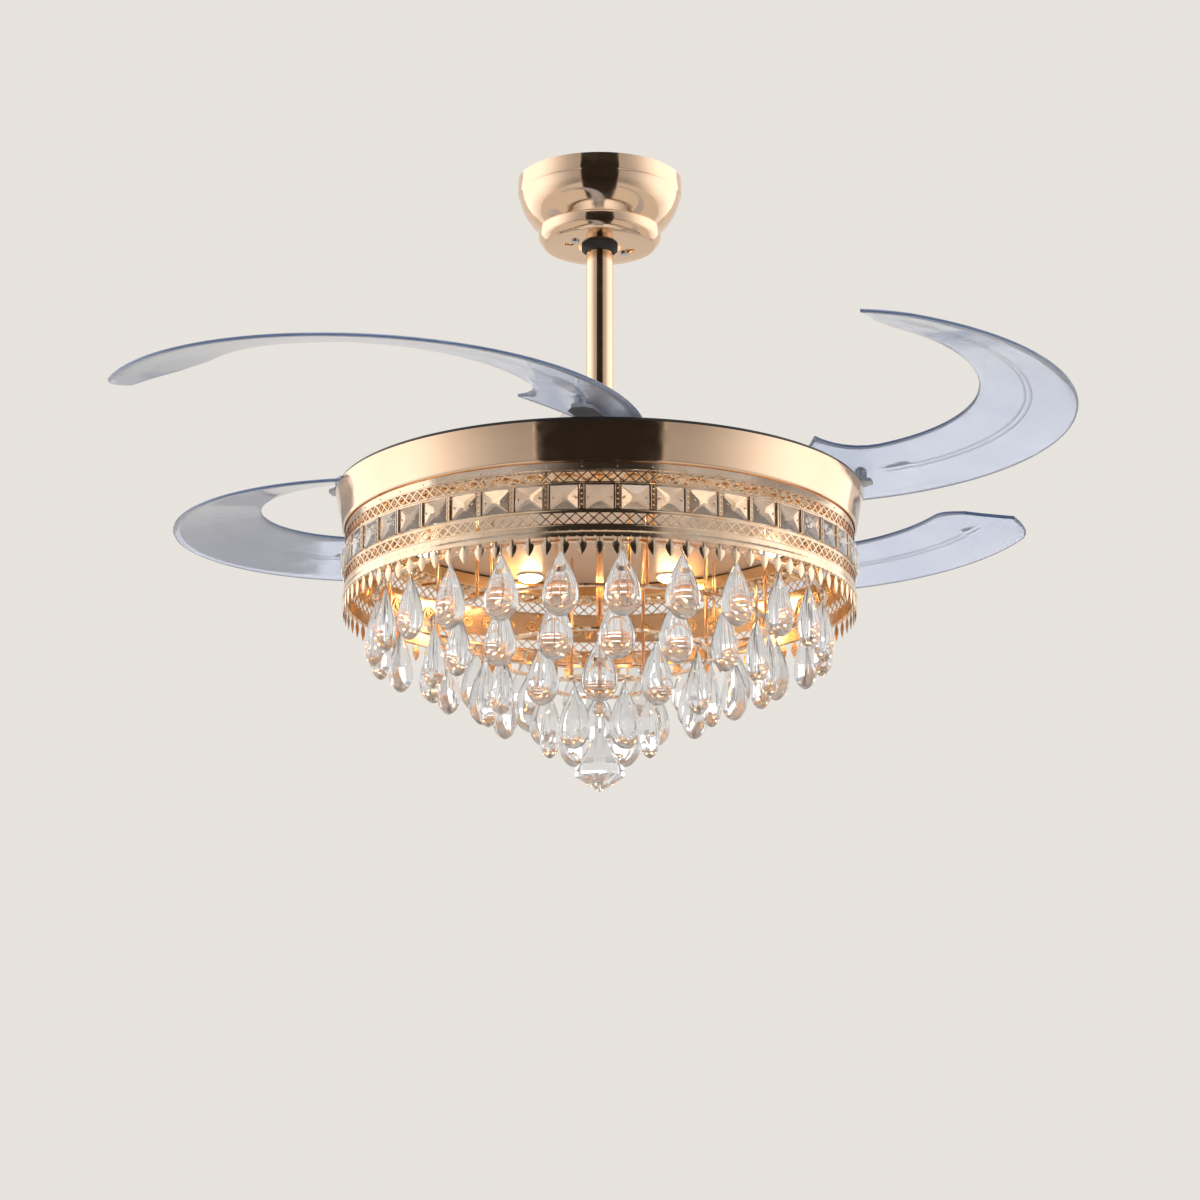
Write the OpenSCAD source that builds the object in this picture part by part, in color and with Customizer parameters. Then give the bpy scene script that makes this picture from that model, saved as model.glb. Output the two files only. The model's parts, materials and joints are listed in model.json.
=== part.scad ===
// Ceiling fan with four folding clear blades and a crystal lamp drum.
// Units are millimetres, +Z is up, and the ceiling plane is z = 0.
// Lower parts are drawn about the top rim of the gold ring, drop_len below the ceiling.

/* [Ceiling bracket] */
// length of the plate that lies on the ceiling
bracket_l = 130; // [110:1:140]
// width of that plate
bracket_w = 36; // [30:1:44]
// sheet thickness of the bracket
bracket_t = 2.5; // [2:0.1:4]
// spacing of the two ceiling slots
slot_spacing = 88.9; // [70:0.1:95]
// width of a ceiling slot
slot_w = 5.5; // [4.5:0.1:7]
// end to end length of a ceiling slot
slot_l = 20; // [12:0.5:26]

/* [Canopy] */
// radius of the canopy's top rim
canopy_r = 78.2; // [74:0.1:90]
// depth of the canopy below the ceiling
canopy_h = 66; // [62:0.5:80]
// wall of the canopy
canopy_wall = 1.4; // [1:0.1:2.5]
// radius of the flat floor of the canopy
canopy_floor_r = 52; // [46:0.5:56]
// radius of the hole in that floor
canopy_hole_r = 21; // [20:0.5:24]
// distance of the keyhole screws from the axis
key_r = 29.5; // [28:0.5:36]
// direction of the first keyhole screw
key_angle = 35.5; // [20:0.5:60]
// radius of a canopy screw's shank
key_screw_r = 2; // [1.5:0.1:2.5]

/* [Hanger and downrod] */
// radius of the hanger ball
ball_r = 20; // [18:0.5:22]
// depth of the ball's centre below the ceiling
ball_drop = 33; // [31:0.5:40]
// height of the ball's flat top above its centre
ball_flat = 13; // [10:0.5:15]
// outer radius of the downrod
rod_r = 13; // [10:0.5:14]
// wall of the downrod
rod_wall = 2.2; // [1.5:0.1:3]
// radius of the ball's cross pin and of the coupling's cross bolt
pin_r = 3; // [2:0.1:4]
// outer radius of the rubber collar on the rod
collar_r = 17.5; // [15.5:0.5:18]
// height of the rubber collar
collar_h = 14; // [10:0.5:20]
// ceiling to the top rim of the gold ring
drop_len = 318; // [300:1:600]

/* [Motor] */
// radius of the fixed shaft
shaft_r = 9; // [8:0.1:10]
// radius of the hole along the fixed shaft
shaft_bore_r = 6; // [5:0.1:6.5]
// outer radius of the coupling sleeve
coupling_r = 20; // [18:0.5:24]
// length of the coupling sleeve
coupling_len = 30; // [26:1:32]
// outer radius of the motor shell
motor_r = 85; // [80:1:95]
// height of the motor shell
motor_h = 44; // [42:1:48]
// wall of the motor shell
shell_t = 3; // [2:0.1:4]
// outer radius of a bearing
bearing_r = 19; // [18:0.5:21]
// width of a bearing
bearing_w = 8; // [7:0.5:9]
// thickness of the stator stack
stator_h = 14; // [10:1:16]
// number of stator teeth and coils
stator_teeth = 12; // [9:3:18]
// number of magnets
magnets_n = 16; // [8:2:20]
// radial thickness of a magnet
magnet_t = 9; // [6:0.5:10]

/* [Hub cover] */
// rise of the hub cover above the motor shell
cover_rise = 47; // [44:1:60]
// wall of the hub cover
cover_t = 1.5; // [1:0.1:2.5]

/* [Blade gears and pivots] */
// tooth size of the gears that keep the blades together
gear_module = 3; // [2.9:0.05:3.1]
// teeth of the ring gear
ring_teeth = 112; // [108:4:112]
// teeth a full circle of a blade's gear would have
arm_teeth = 24; // [24:1:26]
// thickness of the gears
gear_t = 4.5; // [3:0.1:4.6]
// width of the ring gear inside its teeth
ring_gear_w = 14; // [10:1:18]
// thickness of the blade carrier
carrier_t = 3; // [2:0.1:4]
// radius of a pivot bolt
pivot_bolt_r = 5; // [4:0.1:6]
// thickness of a blade arm above its gear
arm_t = 3.5; // [2.5:0.1:3.6]
// radius of a blade arm's hub
arm_hub_r = 14; // [12:0.5:15]

/* [Blades] */
// gap in plan between a folded blade and the gold ring's rim
blade_margin = 4; // [3:0.5:10]
// width of a blade
blade_w = 88; // [70:1:90]
// thickness of a blade
blade_t = 3.5; // [2.5:0.1:4]
// sweep of a blade round the drum, from its pivot to its tip
blade_sweep = 165; // [150:1:166]
// turn of a blade from folded to the pose shown
open_deg = 84.3; // [70:0.1:88]
// height of a blade's middle above the rim at its pivot
blade_z = 15.7; // [15.5:0.1:17]
// rise of a blade along its length
blade_rise = 29.2; // [29:0.1:32]
// rise of a blade per millimetre towards its inner edge
blade_slope = 0.269; // [0.25:0.001:0.27]
// reach of the fin on the inner side of a blade's root
fin_w = 28; // [10:1:30]

/* [Gold ring and crown] */
// radius of the gold ring's top rim
ring_r = 250; // [249:0.5:256]
// height of the gold ring
ring_h = 38; // [30:0.5:45]
// how far the ring draws in at its lower edge
ring_flare = 7; // [5:0.5:8]
// wall of the gold ring
ring_wall = 1.5; // [1:0.1:2]
// height of the black bead on the rim
bead_h = 3; // [1:0.1:4]
// depth of the crown's lower edge below the rim
crown_depth = 108; // [104:1:120]
// wall of the crown
crown_wall = 2; // [1.5:0.1:3]
// number of square crystals round the crown
squares_n = 48; // [40:2:50]
// gap between two square crystals
square_gap = 6.6; // [5.6:0.1:8]
// height of a square crystal
square_h = 22; // [18:0.5:23]
// rise of a square crystal's point
square_rise = 5; // [3:0.5:6]
// number of diamond openings in a lattice band
diamonds_n = 72; // [36:2:80]
// height of a lattice band
lattice_h = 10; // [8:0.5:11]
// number of leaves in the fringe
leaves_n = 96; // [60:1:100]
// length of a leaf below the crown
leaf_l = 17; // [10:0.5:25]
// width of a leaf
leaf_w = 10; // [6:0.5:11]

/* [Lamp inside] */
// depth of the plate that carries the lamp
lamp_plate_z = 18; // [17:0.5:20]
// thickness of the lamp's plates
plate_t = 2; // [1.5:0.1:3]
// depth of the reflector's face
reflector_z = 48; // [46:0.5:56]
// width of the reflector's flat rim outside its raised pan
reflector_rim_w = 34.5; // [32.5:0.5:40]
// rise of the raised pan
pan_h = 15; // [10:0.5:15]
// number of light modules
lights_n = 8; // [6:1:12]
// gap between a light module and the raised pan's wall
light_gap = 10; // [4:0.5:16]
// radius of a light module
light_r = 13; // [8:0.5:15]

/* [Crystal tiers] */
// from the crown's wall to the middle of the outer tier
outer_tier_gap = 27.5; // [24:0.5:30]
// width of a crystal drop
drop_w = 34; // [24:0.5:36]
// thickness of a crystal drop
drop_t = 19; // [12:0.5:20]
// length of a crystal drop
drop_l = 61; // [50:0.5:62]
// length of the hook above a drop
hook_l = 7; // [4:0.5:10]
// radius of a hook's wire
hook_r = 1; // [0.6:0.1:1.4]
// width of a tier's ring
tier_w = 6; // [4:0.5:8]
// thickness of a tier's ring
tier_t = 2; // [1.5:0.1:4]
// radius of a tier's posts
post_r = 1.6; // [1.2:0.1:2.2]
// radius of the rod down the middle
centre_rod_r = 3.5; // [3:0.1:4]
// depth of the finial's point below the rim
finial_depth = 289; // [280:1:300]
// radius of the finial crystal
finial_r = 23; // [16:0.5:24]
// length of the finial crystal
finial_l = 51; // [45:1:56]

/* [Hidden] */
fit = 0.05;             // radial gap of a pin in its hole
seat = 0.3;             // gap between a moving piece and what carries it
rest_gap = 0.1;         // gap between round pieces that are pushed together
blades_n = 4;
white = [0.95, 0.95, 0.93];
gold = [0.86, 0.68, 0.48];
steel = [0.72, 0.73, 0.75];
clear = [0.78, 0.84, 0.92, 0.6];
crystal = [0.93, 0.93, 0.95, 0.6];
black = [0.08, 0.08, 0.08];
copper = [0.72, 0.42, 0.22];

// hanger cup
cup_hole_r = 17;
cup_wall = 6;
cup_top = ball_drop + 2;
cup_bottom = ball_drop + 14;
leg_x = ball_r + cup_wall + 8;
screw_tube_r = key_screw_r + 2;
key_head_h = 3;
receiver_size = [56, 26, 12];

// heights in the motor, from the gold ring's rim
shaft_top = motor_h + 6 + 10;
shaft_end = -lamp_plate_z - plate_t - 8;
coupling_z = motor_h + 6;
bolt_z = coupling_z + coupling_len - 8;
bearing_inner_r = shaft_r + 3.2;
bearing_pitch = (bearing_inner_r + bearing_r - 3.2) / 2;
ball_count = 8;
race_ball_r = 2.3;
stator_mid = motor_h / 2;
yoke_r = 30;
magnet_in_r = motor_r - shell_t - fit - magnet_t;
tooth_tip_r = magnet_in_r - 3;
cover_in_r = motor_r + seat;
cover_z = motor_h + seat;

// blade gears
ring_pitch_r = gear_module * ring_teeth / 2;
arm_pitch_r = gear_module * arm_teeth / 2;
pivot_r = ring_pitch_r + arm_pitch_r;
backlash = 0.3;
gear_z = 1;
arm_z = gear_z + gear_t + 0.5;
arm_top = arm_z + arm_t;
ring_gear_in_r = ring_pitch_r - 1.25 * gear_module - ring_gear_w;
roller_r = 8;
roller_orbit = ring_gear_in_r - roller_r - seat;
boss_r = 13;
boss_top = blade_z + 3;
bolt_head_r = 8;
bolt_head_h = 3.5;
bolt_seat_r = bolt_head_r + 1.5;
nut_h = 5;
spring_turns = 4;
spring_wire_r = 0.6;
spring_r = pivot_bolt_r + 2.5;
spring_pitch = 1.7;
spring_h = spring_turns * spring_pitch + 2 * spring_wire_r + 2 * seat;
blade_screw_r = 1.6;
blade_screws = [[-7, -26], [-13, -46]];

// blade shape, drawn folded with its pivot on the +X axis
blade_out_r = ring_r - blade_margin;
blade_in_r = blade_out_r - blade_w;
root_deg = 8;
tip_slant = 8;
fin_from = -24;
fin_to = -2;
blade_steps = concat([8, 6, 4, 2, 0, -2, -5, -8, -12, -16, -20, -24],
                     [for (a = [-30 : -5 : -145]) a],
                     [-150, -154, -158, -161, -163.5, -165]);
blade_cells = 4;

// crown
crown_r = ring_r - ring_flare - ring_wall;
crown_in_r = crown_r - crown_wall;
crown_top = lamp_plate_z - 2;
upper_lattice_z = ring_h + 14.5;
squares_z = ring_h + 34;
lower_lattice_z = ring_h + 53.5;
bar_w = 4.5;
bar_out = 3.5;
square_w = 2 * PI * crown_r / squares_n - square_gap;

// lamp inside
pan_r = crown_in_r - reflector_rim_w;
light_orbit = pan_r - light_r - light_gap;

// crystal tiers: radius, depth of the drops' lower ends, drops, direction of the first, posts
tiers = [[crown_in_r - outer_tier_gap, 173, 24, -84.5, 6], [160, 200, 18, -84.5, 6], [105, 227, 12, -90, 4],
         [47, 257, 6, -60, 3]];
drop_rings = [[0, 0.05], [0.3, 0.61], [0.66, 0.99], [0.87, 0.8], [1, 0]];
bead_z = 210;
bead_r = 7;
finial_sides = 8;
finial_girdle = [14, 22];   // heights of the finial's widest part above its point
finial_neck_r = 0.3 * finial_r;
stud_r = 2;
stud_l = 8;
rod_nut_h = 4;
pan_face = -reflector_z + pan_h - plate_t;
driver_size = [60, 70, 8];
driver_x = 60;

// ---------- helpers ----------

module at_rim(z = 0) translate([0, 0, z - drop_len]) children();

module around(n, r, from = 0)
  for (i = [0 : n - 1]) rotate([0, 0, from + i * 360 / n]) translate([r, 0, 0]) children();

// plain tube standing on z = 0
module tube(r_out, r_in, h) difference() {
  cylinder(r = r_out, h = h);
  translate([0, 0, -1]) cylinder(r = r_in, h = h + 2);
}

module hexagon(r, h) cylinder(r = r, h = h, $fn = 6);

// ---------- ceiling side ----------

module bracket_plate_slots() {
  for (side = [-1, 1]) for (dx = [-1, 1])
    translate([side * slot_spacing / 2 + dx * (slot_l - slot_w) / 2, 0, -bracket_t - 1])
      cylinder(r = slot_w / 2, h = bracket_t + 2);
  for (side = [-1, 1]) translate([side * slot_spacing / 2, 0, -bracket_t / 2])
    cube([slot_l - slot_w, slot_w, bracket_t + 2], center = true);
}

module mounting_bracket() color(steel) difference() {
  union() {
    translate([0, 0, -bracket_t / 2]) cube([bracket_l, bracket_w, bracket_t], center = true);
    for (side = [-1, 1]) translate([side * (leg_x - bracket_t / 2), 0, -cup_bottom / 2])
      cube([bracket_t, bracket_w, cup_bottom], center = true);
    translate([0, 0, -cup_bottom + bracket_t / 2])
      cube([2 * leg_x, bracket_w + 8, bracket_t], center = true);
    translate([0, 0, -cup_bottom]) cylinder(r = ball_r + cup_wall, h = cup_bottom - cup_top);
    for (a = [0, 180]) rotate([0, 0, key_angle + a]) translate([key_r, 0, -canopy_h + 6])
      cylinder(r = screw_tube_r, h = canopy_h - 6 - cup_bottom + bracket_t);
  }
  bracket_plate_slots();
  translate([0, 0, -ball_drop]) sphere(r = ball_r + fit);
  translate([0, 0, -cup_bottom - 1]) cylinder(r = cup_hole_r, h = cup_bottom - cup_top + 2);
  for (a = [0, 180]) rotate([0, 0, key_angle + a]) translate([key_r, 0, -canopy_h])
    cylinder(r = key_screw_r + fit, h = canopy_h - cup_bottom + bracket_t + 1);
}

// half section of the canopy's outside, top to bottom
canopy_side = [[canopy_r, 0], [canopy_r, -14], [canopy_r - 1, -16],
               [canopy_r - 3, -24], [canopy_r - 7, -33], [canopy_r - 12.5, -41],
               [canopy_r - 18.5, -47.5], [canopy_r - 21, -50], [canopy_r - 20.2, -52],
               [canopy_r - 20.6, -canopy_h + 7], [canopy_floor_r + 2, -canopy_h + 1.5],
               [canopy_floor_r, -canopy_h]];

module canopy() color(gold) difference() {
  rotate_extrude() polygon(concat(
    canopy_side,
    [[canopy_hole_r, -canopy_h], [canopy_hole_r, -canopy_h + canopy_wall]],
    [[canopy_floor_r - canopy_wall, -canopy_h + canopy_wall]],
    [for (i = [len(canopy_side) - 3 : -1 : 0])
      [canopy_side[i][0] - canopy_wall, min(0, canopy_side[i][1] + (i > 4 ? canopy_wall / 3 : 0))]]));
  for (a = [0, 180]) rotate([0, 0, key_angle + a]) {
    translate([key_r, 0, -canopy_h - 1])
      cylinder(r = key_screw_r + 0.5, h = canopy_wall + 2);
    rotate([0, 0, -9]) translate([key_r, 0, -canopy_h - 1])
      cylinder(r = key_screw_r + 0.5, h = canopy_wall + 2);
    rotate([0, 0, -19]) translate([key_r, 0, -canopy_h - 1])
      cylinder(r = 2 * key_screw_r + 1, h = canopy_wall + 2);
    translate([key_r - key_screw_r - 0.5, -9, -canopy_h - 1])
      cube([2 * key_screw_r + 1, 9, canopy_wall + 2]);
  }
}

module canopy_screws() color(steel)
  for (a = [0, 180]) rotate([0, 0, key_angle + a]) translate([key_r, 0, -canopy_h]) {
    translate([0, 0, -key_head_h]) cylinder(r = 2 * key_screw_r, h = key_head_h);
    translate([0, 0, -0.5]) cylinder(r = key_screw_r, h = canopy_h - cup_bottom);
  }

module receiver_box() color(white)
  translate([0, 0, -bracket_t - receiver_size[2] / 2]) cube(receiver_size, center = true);

// ---------- hanger, downrod and coupling ----------

module hanger_ball() color(black) translate([0, 0, -ball_drop]) difference() {
  sphere(r = ball_r);
  translate([0, 0, -ball_r - 1]) cylinder(r = rod_r + fit, h = 2 * ball_r + 2);
  translate([0, 0, ball_flat + ball_r / 2]) cube([3 * ball_r, 3 * ball_r, ball_r], center = true);
  rotate([90, 0, 0]) translate([0, 0, -ball_r - 1]) cylinder(r = pin_r + fit, h = 2 * ball_r + 2);
}

module ball_pin() color(steel) translate([0, 0, -ball_drop])
  rotate([90, 0, 0]) translate([0, 0, -ball_r + 2]) cylinder(r = pin_r, h = 2 * ball_r - 4);

module rod_collar() color(black) translate([0, 0, -canopy_h - collar_h / 2]) rotate_extrude()
  polygon([[rod_r + fit, 0], [collar_r - 2, 0], [collar_r, 2], [collar_r, collar_h - 2],
           [collar_r - 2, collar_h], [rod_r + fit, collar_h]]);

module downrod() color(gold) difference() {
  translate([0, 0, -drop_len + shaft_top + 1])
    cylinder(r = rod_r, h = drop_len - shaft_top - 1 - ball_drop + ball_flat);
  translate([0, 0, -drop_len]) cylinder(r = rod_r - rod_wall, h = drop_len);
  translate([0, 0, -ball_drop]) rotate([90, 0, 0]) translate([0, 0, -rod_r - 1])
    cylinder(r = pin_r + fit, h = 2 * rod_r + 2);
  at_rim(bolt_z) rotate([90, 0, 0]) translate([0, 0, -rod_r - 1])
    cylinder(r = pin_r + fit, h = 2 * rod_r + 2);
}

module rod_coupling() color(steel) at_rim(coupling_z) difference() {
  cylinder(r = coupling_r, h = coupling_len);
  translate([0, 0, -1]) cylinder(r = shaft_r + fit, h = coupling_len + 2);
  translate([0, 0, shaft_top + 1 - coupling_z]) cylinder(r = rod_r + fit, h = coupling_len);
  translate([0, 0, bolt_z - coupling_z]) rotate([90, 0, 0]) translate([0, 0, -coupling_r - 1])
    cylinder(r = pin_r + fit, h = 2 * coupling_r + 2);
  translate([0, 0, 5]) rotate([0, 90, 0]) translate([0, 0, -coupling_r - 1])
    cylinder(r = 2.5 + fit, h = 2 * coupling_r + 2);
}

module coupling_screws() color(steel) at_rim() {
  translate([0, 0, bolt_z]) rotate([90, 0, 0]) {
    translate([0, 0, -coupling_r - 2]) cylinder(r = pin_r, h = 2 * coupling_r + 2);
    translate([0, 0, coupling_r]) cylinder(r = 1.7 * pin_r, h = 3);
  }
  for (side = [0, 180]) rotate([0, 0, side]) translate([shaft_r + rest_gap, 0, coupling_z + 5])
    rotate([0, 90, 0]) cylinder(r = 2.5, h = coupling_r - shaft_r - rest_gap);
}

// ---------- motor ----------

module motor_shaft() color(steel) at_rim(shaft_end)
  tube(shaft_r, shaft_bore_r, shaft_top - shaft_end);

module stator_core() color([0.45, 0.45, 0.47]) at_rim(stator_mid - stator_h / 2)
  difference() {
    linear_extrude(height = stator_h) {
      circle(r = yoke_r);
      for (i = [0 : stator_teeth - 1]) rotate([0, 0, i * 360 / stator_teeth]) {
        translate([yoke_r - 2, -4]) square([tooth_tip_r - yoke_r + 1, 8]);
        translate([tooth_tip_r - 5, -12]) square([4, 24]);
      }
    }
    translate([0, 0, -1]) cylinder(r = shaft_r + fit, h = stator_h + 2);
  }

module stator_windings() color(copper) at_rim(stator_mid)
  around(stator_teeth, 0) difference() {
    translate([42, -8, -stator_h / 2 - 4]) cube([tooth_tip_r - 49, 16, stator_h + 8]);
    translate([41, -4 - fit, -stator_h / 2 - fit])
      cube([tooth_tip_r, 8 + 2 * fit, stator_h + 2 * fit]);
  }

module bearing_groove() rotate_extrude()
  translate([bearing_pitch, bearing_w / 2]) circle(r = race_ball_r + fit);

module two_bearings() {
  at_rim(shell_t + fit) children();
  at_rim(motor_h - shell_t - bearing_w - fit) children();
}

module bearing_inner_rings() color(steel) two_bearings() difference() {
  tube(bearing_inner_r, shaft_r + fit, bearing_w);
  bearing_groove();
}

module bearing_outer_rings() color(steel) two_bearings() difference() {
  tube(bearing_r, bearing_r - 3.2, bearing_w);
  bearing_groove();
}

module bearing_balls() color(steel) two_bearings()
  around(ball_count, bearing_pitch) translate([0, 0, bearing_w / 2]) sphere(r = race_ball_r);

module half_shell() difference() {
  cylinder(r = motor_r, h = motor_h / 2);
  translate([0, 0, shell_t]) cylinder(r = motor_r - shell_t, h = motor_h);
  translate([0, 0, -1]) cylinder(r = bearing_inner_r, h = motor_h);
}

module bearing_seat() translate([0, 0, shell_t - 0.5])
  tube(bearing_r + 4, bearing_r + fit, bearing_w + 0.5);

module carrier_screw_places() around(8, motor_r - 12, 22.5) children();

module rotor_lower_shell() color([0.8, 0.8, 0.82]) at_rim() difference() {
  union() {
    half_shell();
    bearing_seat();
  }
  carrier_screw_places() translate([0, 0, -1]) cylinder(r = 2.5 + fit, h = shell_t + 2);
}

module rotor_upper_shell() color([0.8, 0.8, 0.82]) at_rim(motor_h) mirror([0, 0, 1]) {
  half_shell();
  bearing_seat();
}

module rotor_magnets() color([0.3, 0.3, 0.32]) at_rim(stator_mid - 9)
  for (i = [0 : magnets_n - 1]) rotate([0, 0, i * 360 / magnets_n])
    rotate_extrude(angle = 360 / magnets_n - 3) translate([magnet_in_r, 0]) square([magnet_t, 18]);

// half section of the hub cover's outside, from its skirt to the hole for the rod
cover_side = [[cover_in_r + cover_t, -12], [cover_in_r + cover_t, 2], [46, cover_rise - 24],
              [37, cover_rise - 12], [26, cover_rise - 3], [rod_r + 6, cover_rise]];

module hub_cover() color(steel) at_rim(cover_z) rotate_extrude() polygon(concat(
  cover_side,
  [[rod_r + 6, cover_rise - cover_t]],
  [[25, cover_rise - 3 - cover_t], [37 - 1.3 * cover_t, cover_rise - 12 - cover_t / 2]],
  [[46 - cover_t, cover_rise - 24 - cover_t], [motor_r - 6, cover_t], [motor_r - 6, 0]],
  [[cover_in_r, 0], [cover_in_r, -12]]));

module hub_trim_ring() color(gold) at_rim(cover_z + cover_rise) rotate_extrude()
  polygon([[rod_r + 1.5, -cover_t], [rod_r + 5.9, -cover_t], [rod_r + 5.9, rest_gap],
           [rod_r + 8, rest_gap], [rod_r + 7, 1.6], [rod_r + 2.5, 1.6]]);

// ---------- blade carrier, pivots and gears ----------

module carrier_shape() difference() {
  union() {
    circle(r = motor_r + 4);
    difference() {
      circle(r = roller_orbit + 11);
      circle(r = roller_orbit - 13);
    }
    for (i = [0 : blades_n - 1]) rotate([0, 0, -90 * i]) {
      translate([0, -15]) square([pivot_r, 30]);
      translate([pivot_r, 0]) circle(r = 15);
    }
  }
  circle(r = shaft_r + 5);
  for (i = [0 : blades_n - 1]) rotate([0, 0, -90 * i]) translate([pivot_r, 0])
    circle(r = pivot_bolt_r + fit);
}

module blade_carrier() color(steel) at_rim(-carrier_t) difference() {
  linear_extrude(height = carrier_t) carrier_shape();
  carrier_screw_places() translate([0, 0, -1]) cylinder(r = 2.5 + fit, h = carrier_t + 2);
  around(4, roller_orbit, 45) translate([0, 0, -1]) cylinder(r = 2.5 + fit, h = carrier_t + 2);
}

module carrier_screws() color(steel) at_rim(-carrier_t) carrier_screw_places() {
  translate([0, 0, -3]) cylinder(r = 4.5, h = 3);
  translate([0, 0, -0.5]) cylinder(r = 2.5, h = carrier_t + shell_t + 0.5);
}

nut_z = -carrier_t - spring_h - nut_h;

module at_pivots() for (i = [0 : blades_n - 1]) rotate([0, 0, -90 * i])
  translate([pivot_r, 0, -drop_len]) children();

module pivot_bolts() color(steel) at_pivots() {
  translate([0, 0, boss_top + seat]) hexagon(bolt_head_r, bolt_head_h);
  translate([0, 0, nut_z]) cylinder(r = pivot_bolt_r, h = boss_top + seat - nut_z + 0.5);
}

module pivot_nuts() color(steel) at_pivots() translate([0, 0, nut_z]) difference() {
  hexagon(pivot_bolt_r + 3.5, nut_h);
  translate([0, 0, -1]) cylinder(r = pivot_bolt_r + fit, h = nut_h + 2);
}

// torsion spring round a pivot bolt: eight rings to a turn, six sides to the wire
spring_rings = 8 * spring_turns;
spring_pts = [for (i = [0 : spring_rings]) let (a = i * 45, z = i * spring_pitch / 8)
  for (k = [0 : 5]) let (c = spring_wire_r * cos(60 * k), s = spring_wire_r * sin(60 * k))
    [(spring_r + c) * cos(a), (spring_r + c) * sin(a), z + s]];
spring_faces = concat(
  [[for (k = [5 : -1 : 0]) k]],
  [[for (k = [0 : 5]) 6 * spring_rings + k]],
  [for (i = [0 : spring_rings - 1]) for (k = [0 : 5]) let (b = 6 * i, n = (k + 1) % 6)
    [b + k, b + 6 + n, b + 6 + k]],
  [for (i = [0 : spring_rings - 1]) for (k = [0 : 5]) let (b = 6 * i, n = (k + 1) % 6)
    [b + k, b + n, b + 6 + n]]);

module return_springs() color(steel) at_pivots()
  translate([0, 0, nut_z + nut_h + seat + spring_wire_r])
    polyhedron(points = spring_pts, faces = spring_faces);

module ring_gear_rollers() color(white) at_rim() around(4, roller_orbit, 45) {
  cylinder(r = roller_r + 2.5, h = gear_z - seat);
  translate([0, 0, gear_z - seat - 0.1]) cylinder(r = roller_r, h = gear_t + 2 * seat + 0.2);
  translate([0, 0, gear_z + gear_t + seat]) cylinder(r = roller_r + 2.5, h = 1);
  translate([0, 0, -carrier_t]) cylinder(r = 2.5, h = carrier_t + 0.5);
}

// angle between a tooth's middle and its flank at radius r
function roll(a) = tan(a) * 180 / PI - a;

function flank(pitch, r) = let (base = pitch * cos(20), c = acos(min(1, base / max(r, base))))
  (45 * gear_module - 90 * backlash / PI) / pitch + roll(20) - roll(c);

function tooth(pitch, mid) =
  let (root = pitch - 1.25 * gear_module, tip = pitch + 0.95 * gear_module)
  [for (p = [[-1, root], [-1, pitch], [-1, tip], [1, tip], [1, pitch], [1, root]])
    let (a = mid + p[0] * flank(pitch, p[1])) [p[1] * cos(a), p[1] * sin(a)]];

module ring_gear() color(white) at_rim(gear_z) difference() {
  linear_extrude(height = gear_t)
    polygon([for (i = [0 : ring_teeth - 1]) each tooth(ring_pitch_r, i * 360 / ring_teeth)]);
  translate([0, 0, -1]) cylinder(r = ring_gear_in_r, h = gear_t + 2);
}

// ---------- blades ----------

function mix(a, b, w) = a + (b - a) * w;

function inner_deg(a) = a + tip_slant * max(0, (-125 - a) / 40);

root_round = 32;
tip_round = 24;
tip_inner_round = 18;

function outer_edge(a) =
  a > -6 ? blade_out_r - root_round + root_round * sqrt(1 - pow((a + 6) / 14, 2) * 0.98)
  : a < -155 ? blade_out_r - tip_round * pow((-155 - a) / 10, 2) : blade_out_r;

function inner_edge(a) =
  a > fin_to ? mix(blade_in_r - fin_w, pivot_r - 12, (a - fin_to) / (root_deg - fin_to))
  : a > fin_from ? blade_in_r - fin_w * pow((a - fin_from) / (fin_to - fin_from), 2)
  : a < -152 ? blade_in_r + tip_inner_round * pow((-152 - a) / 13, 2) : blade_in_r;

function blade_mid(r, a) = let (t = -a / 165)
  blade_z + blade_rise * (0.514 * t + 0.486 * t * t) + blade_slope * (pivot_r - 2 - r);

steps_n = len(blade_steps);
blade_pts = [for (side = [0.5, -0.5]) for (i = [0 : steps_n - 1]) for (j = [0 : blade_cells])
  let (a0 = blade_steps[i], w = j / blade_cells,
       r = mix(inner_edge(a0), outer_edge(a0), w),
       a = mix(inner_deg(a0), a0, w),
       turn = a * (a < 0 ? blade_sweep / 165 : 1))
  [r * cos(turn), r * sin(turn), blade_mid(r, a) + side * blade_t]];

function bp(side, i, j) = (side * steps_n + i) * (blade_cells + 1) + j;

blade_faces = concat(
  [for (i = [0 : steps_n - 2]) for (j = [0 : blade_cells - 1]) each
    [[bp(1, i, j), bp(1, i + 1, j), bp(1, i + 1, j + 1)],
     [bp(1, i, j), bp(1, i + 1, j + 1), bp(1, i, j + 1)],
     [bp(0, i, j), bp(0, i + 1, j + 1), bp(0, i + 1, j)],
     [bp(0, i, j), bp(0, i, j + 1), bp(0, i + 1, j + 1)]]],
  [for (i = [0 : steps_n - 2]) each
    [[bp(0, i, 0), bp(0, i + 1, 0), bp(1, i + 1, 0)], [bp(0, i, 0), bp(1, i + 1, 0), bp(1, i, 0)],
     [bp(0, i, blade_cells), bp(1, i + 1, blade_cells), bp(0, i + 1, blade_cells)],
     [bp(0, i, blade_cells), bp(1, i, blade_cells), bp(1, i + 1, blade_cells)]]],
  [for (j = [0 : blade_cells - 1]) each
    [[bp(0, 0, j), bp(1, 0, j), bp(1, 0, j + 1)], [bp(0, 0, j), bp(1, 0, j + 1), bp(0, 0, j + 1)],
     [bp(0, steps_n - 1, j), bp(1, steps_n - 1, j + 1), bp(1, steps_n - 1, j)],
     [bp(0, steps_n - 1, j), bp(0, steps_n - 1, j + 1), bp(1, steps_n - 1, j + 1)]]]);

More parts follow.
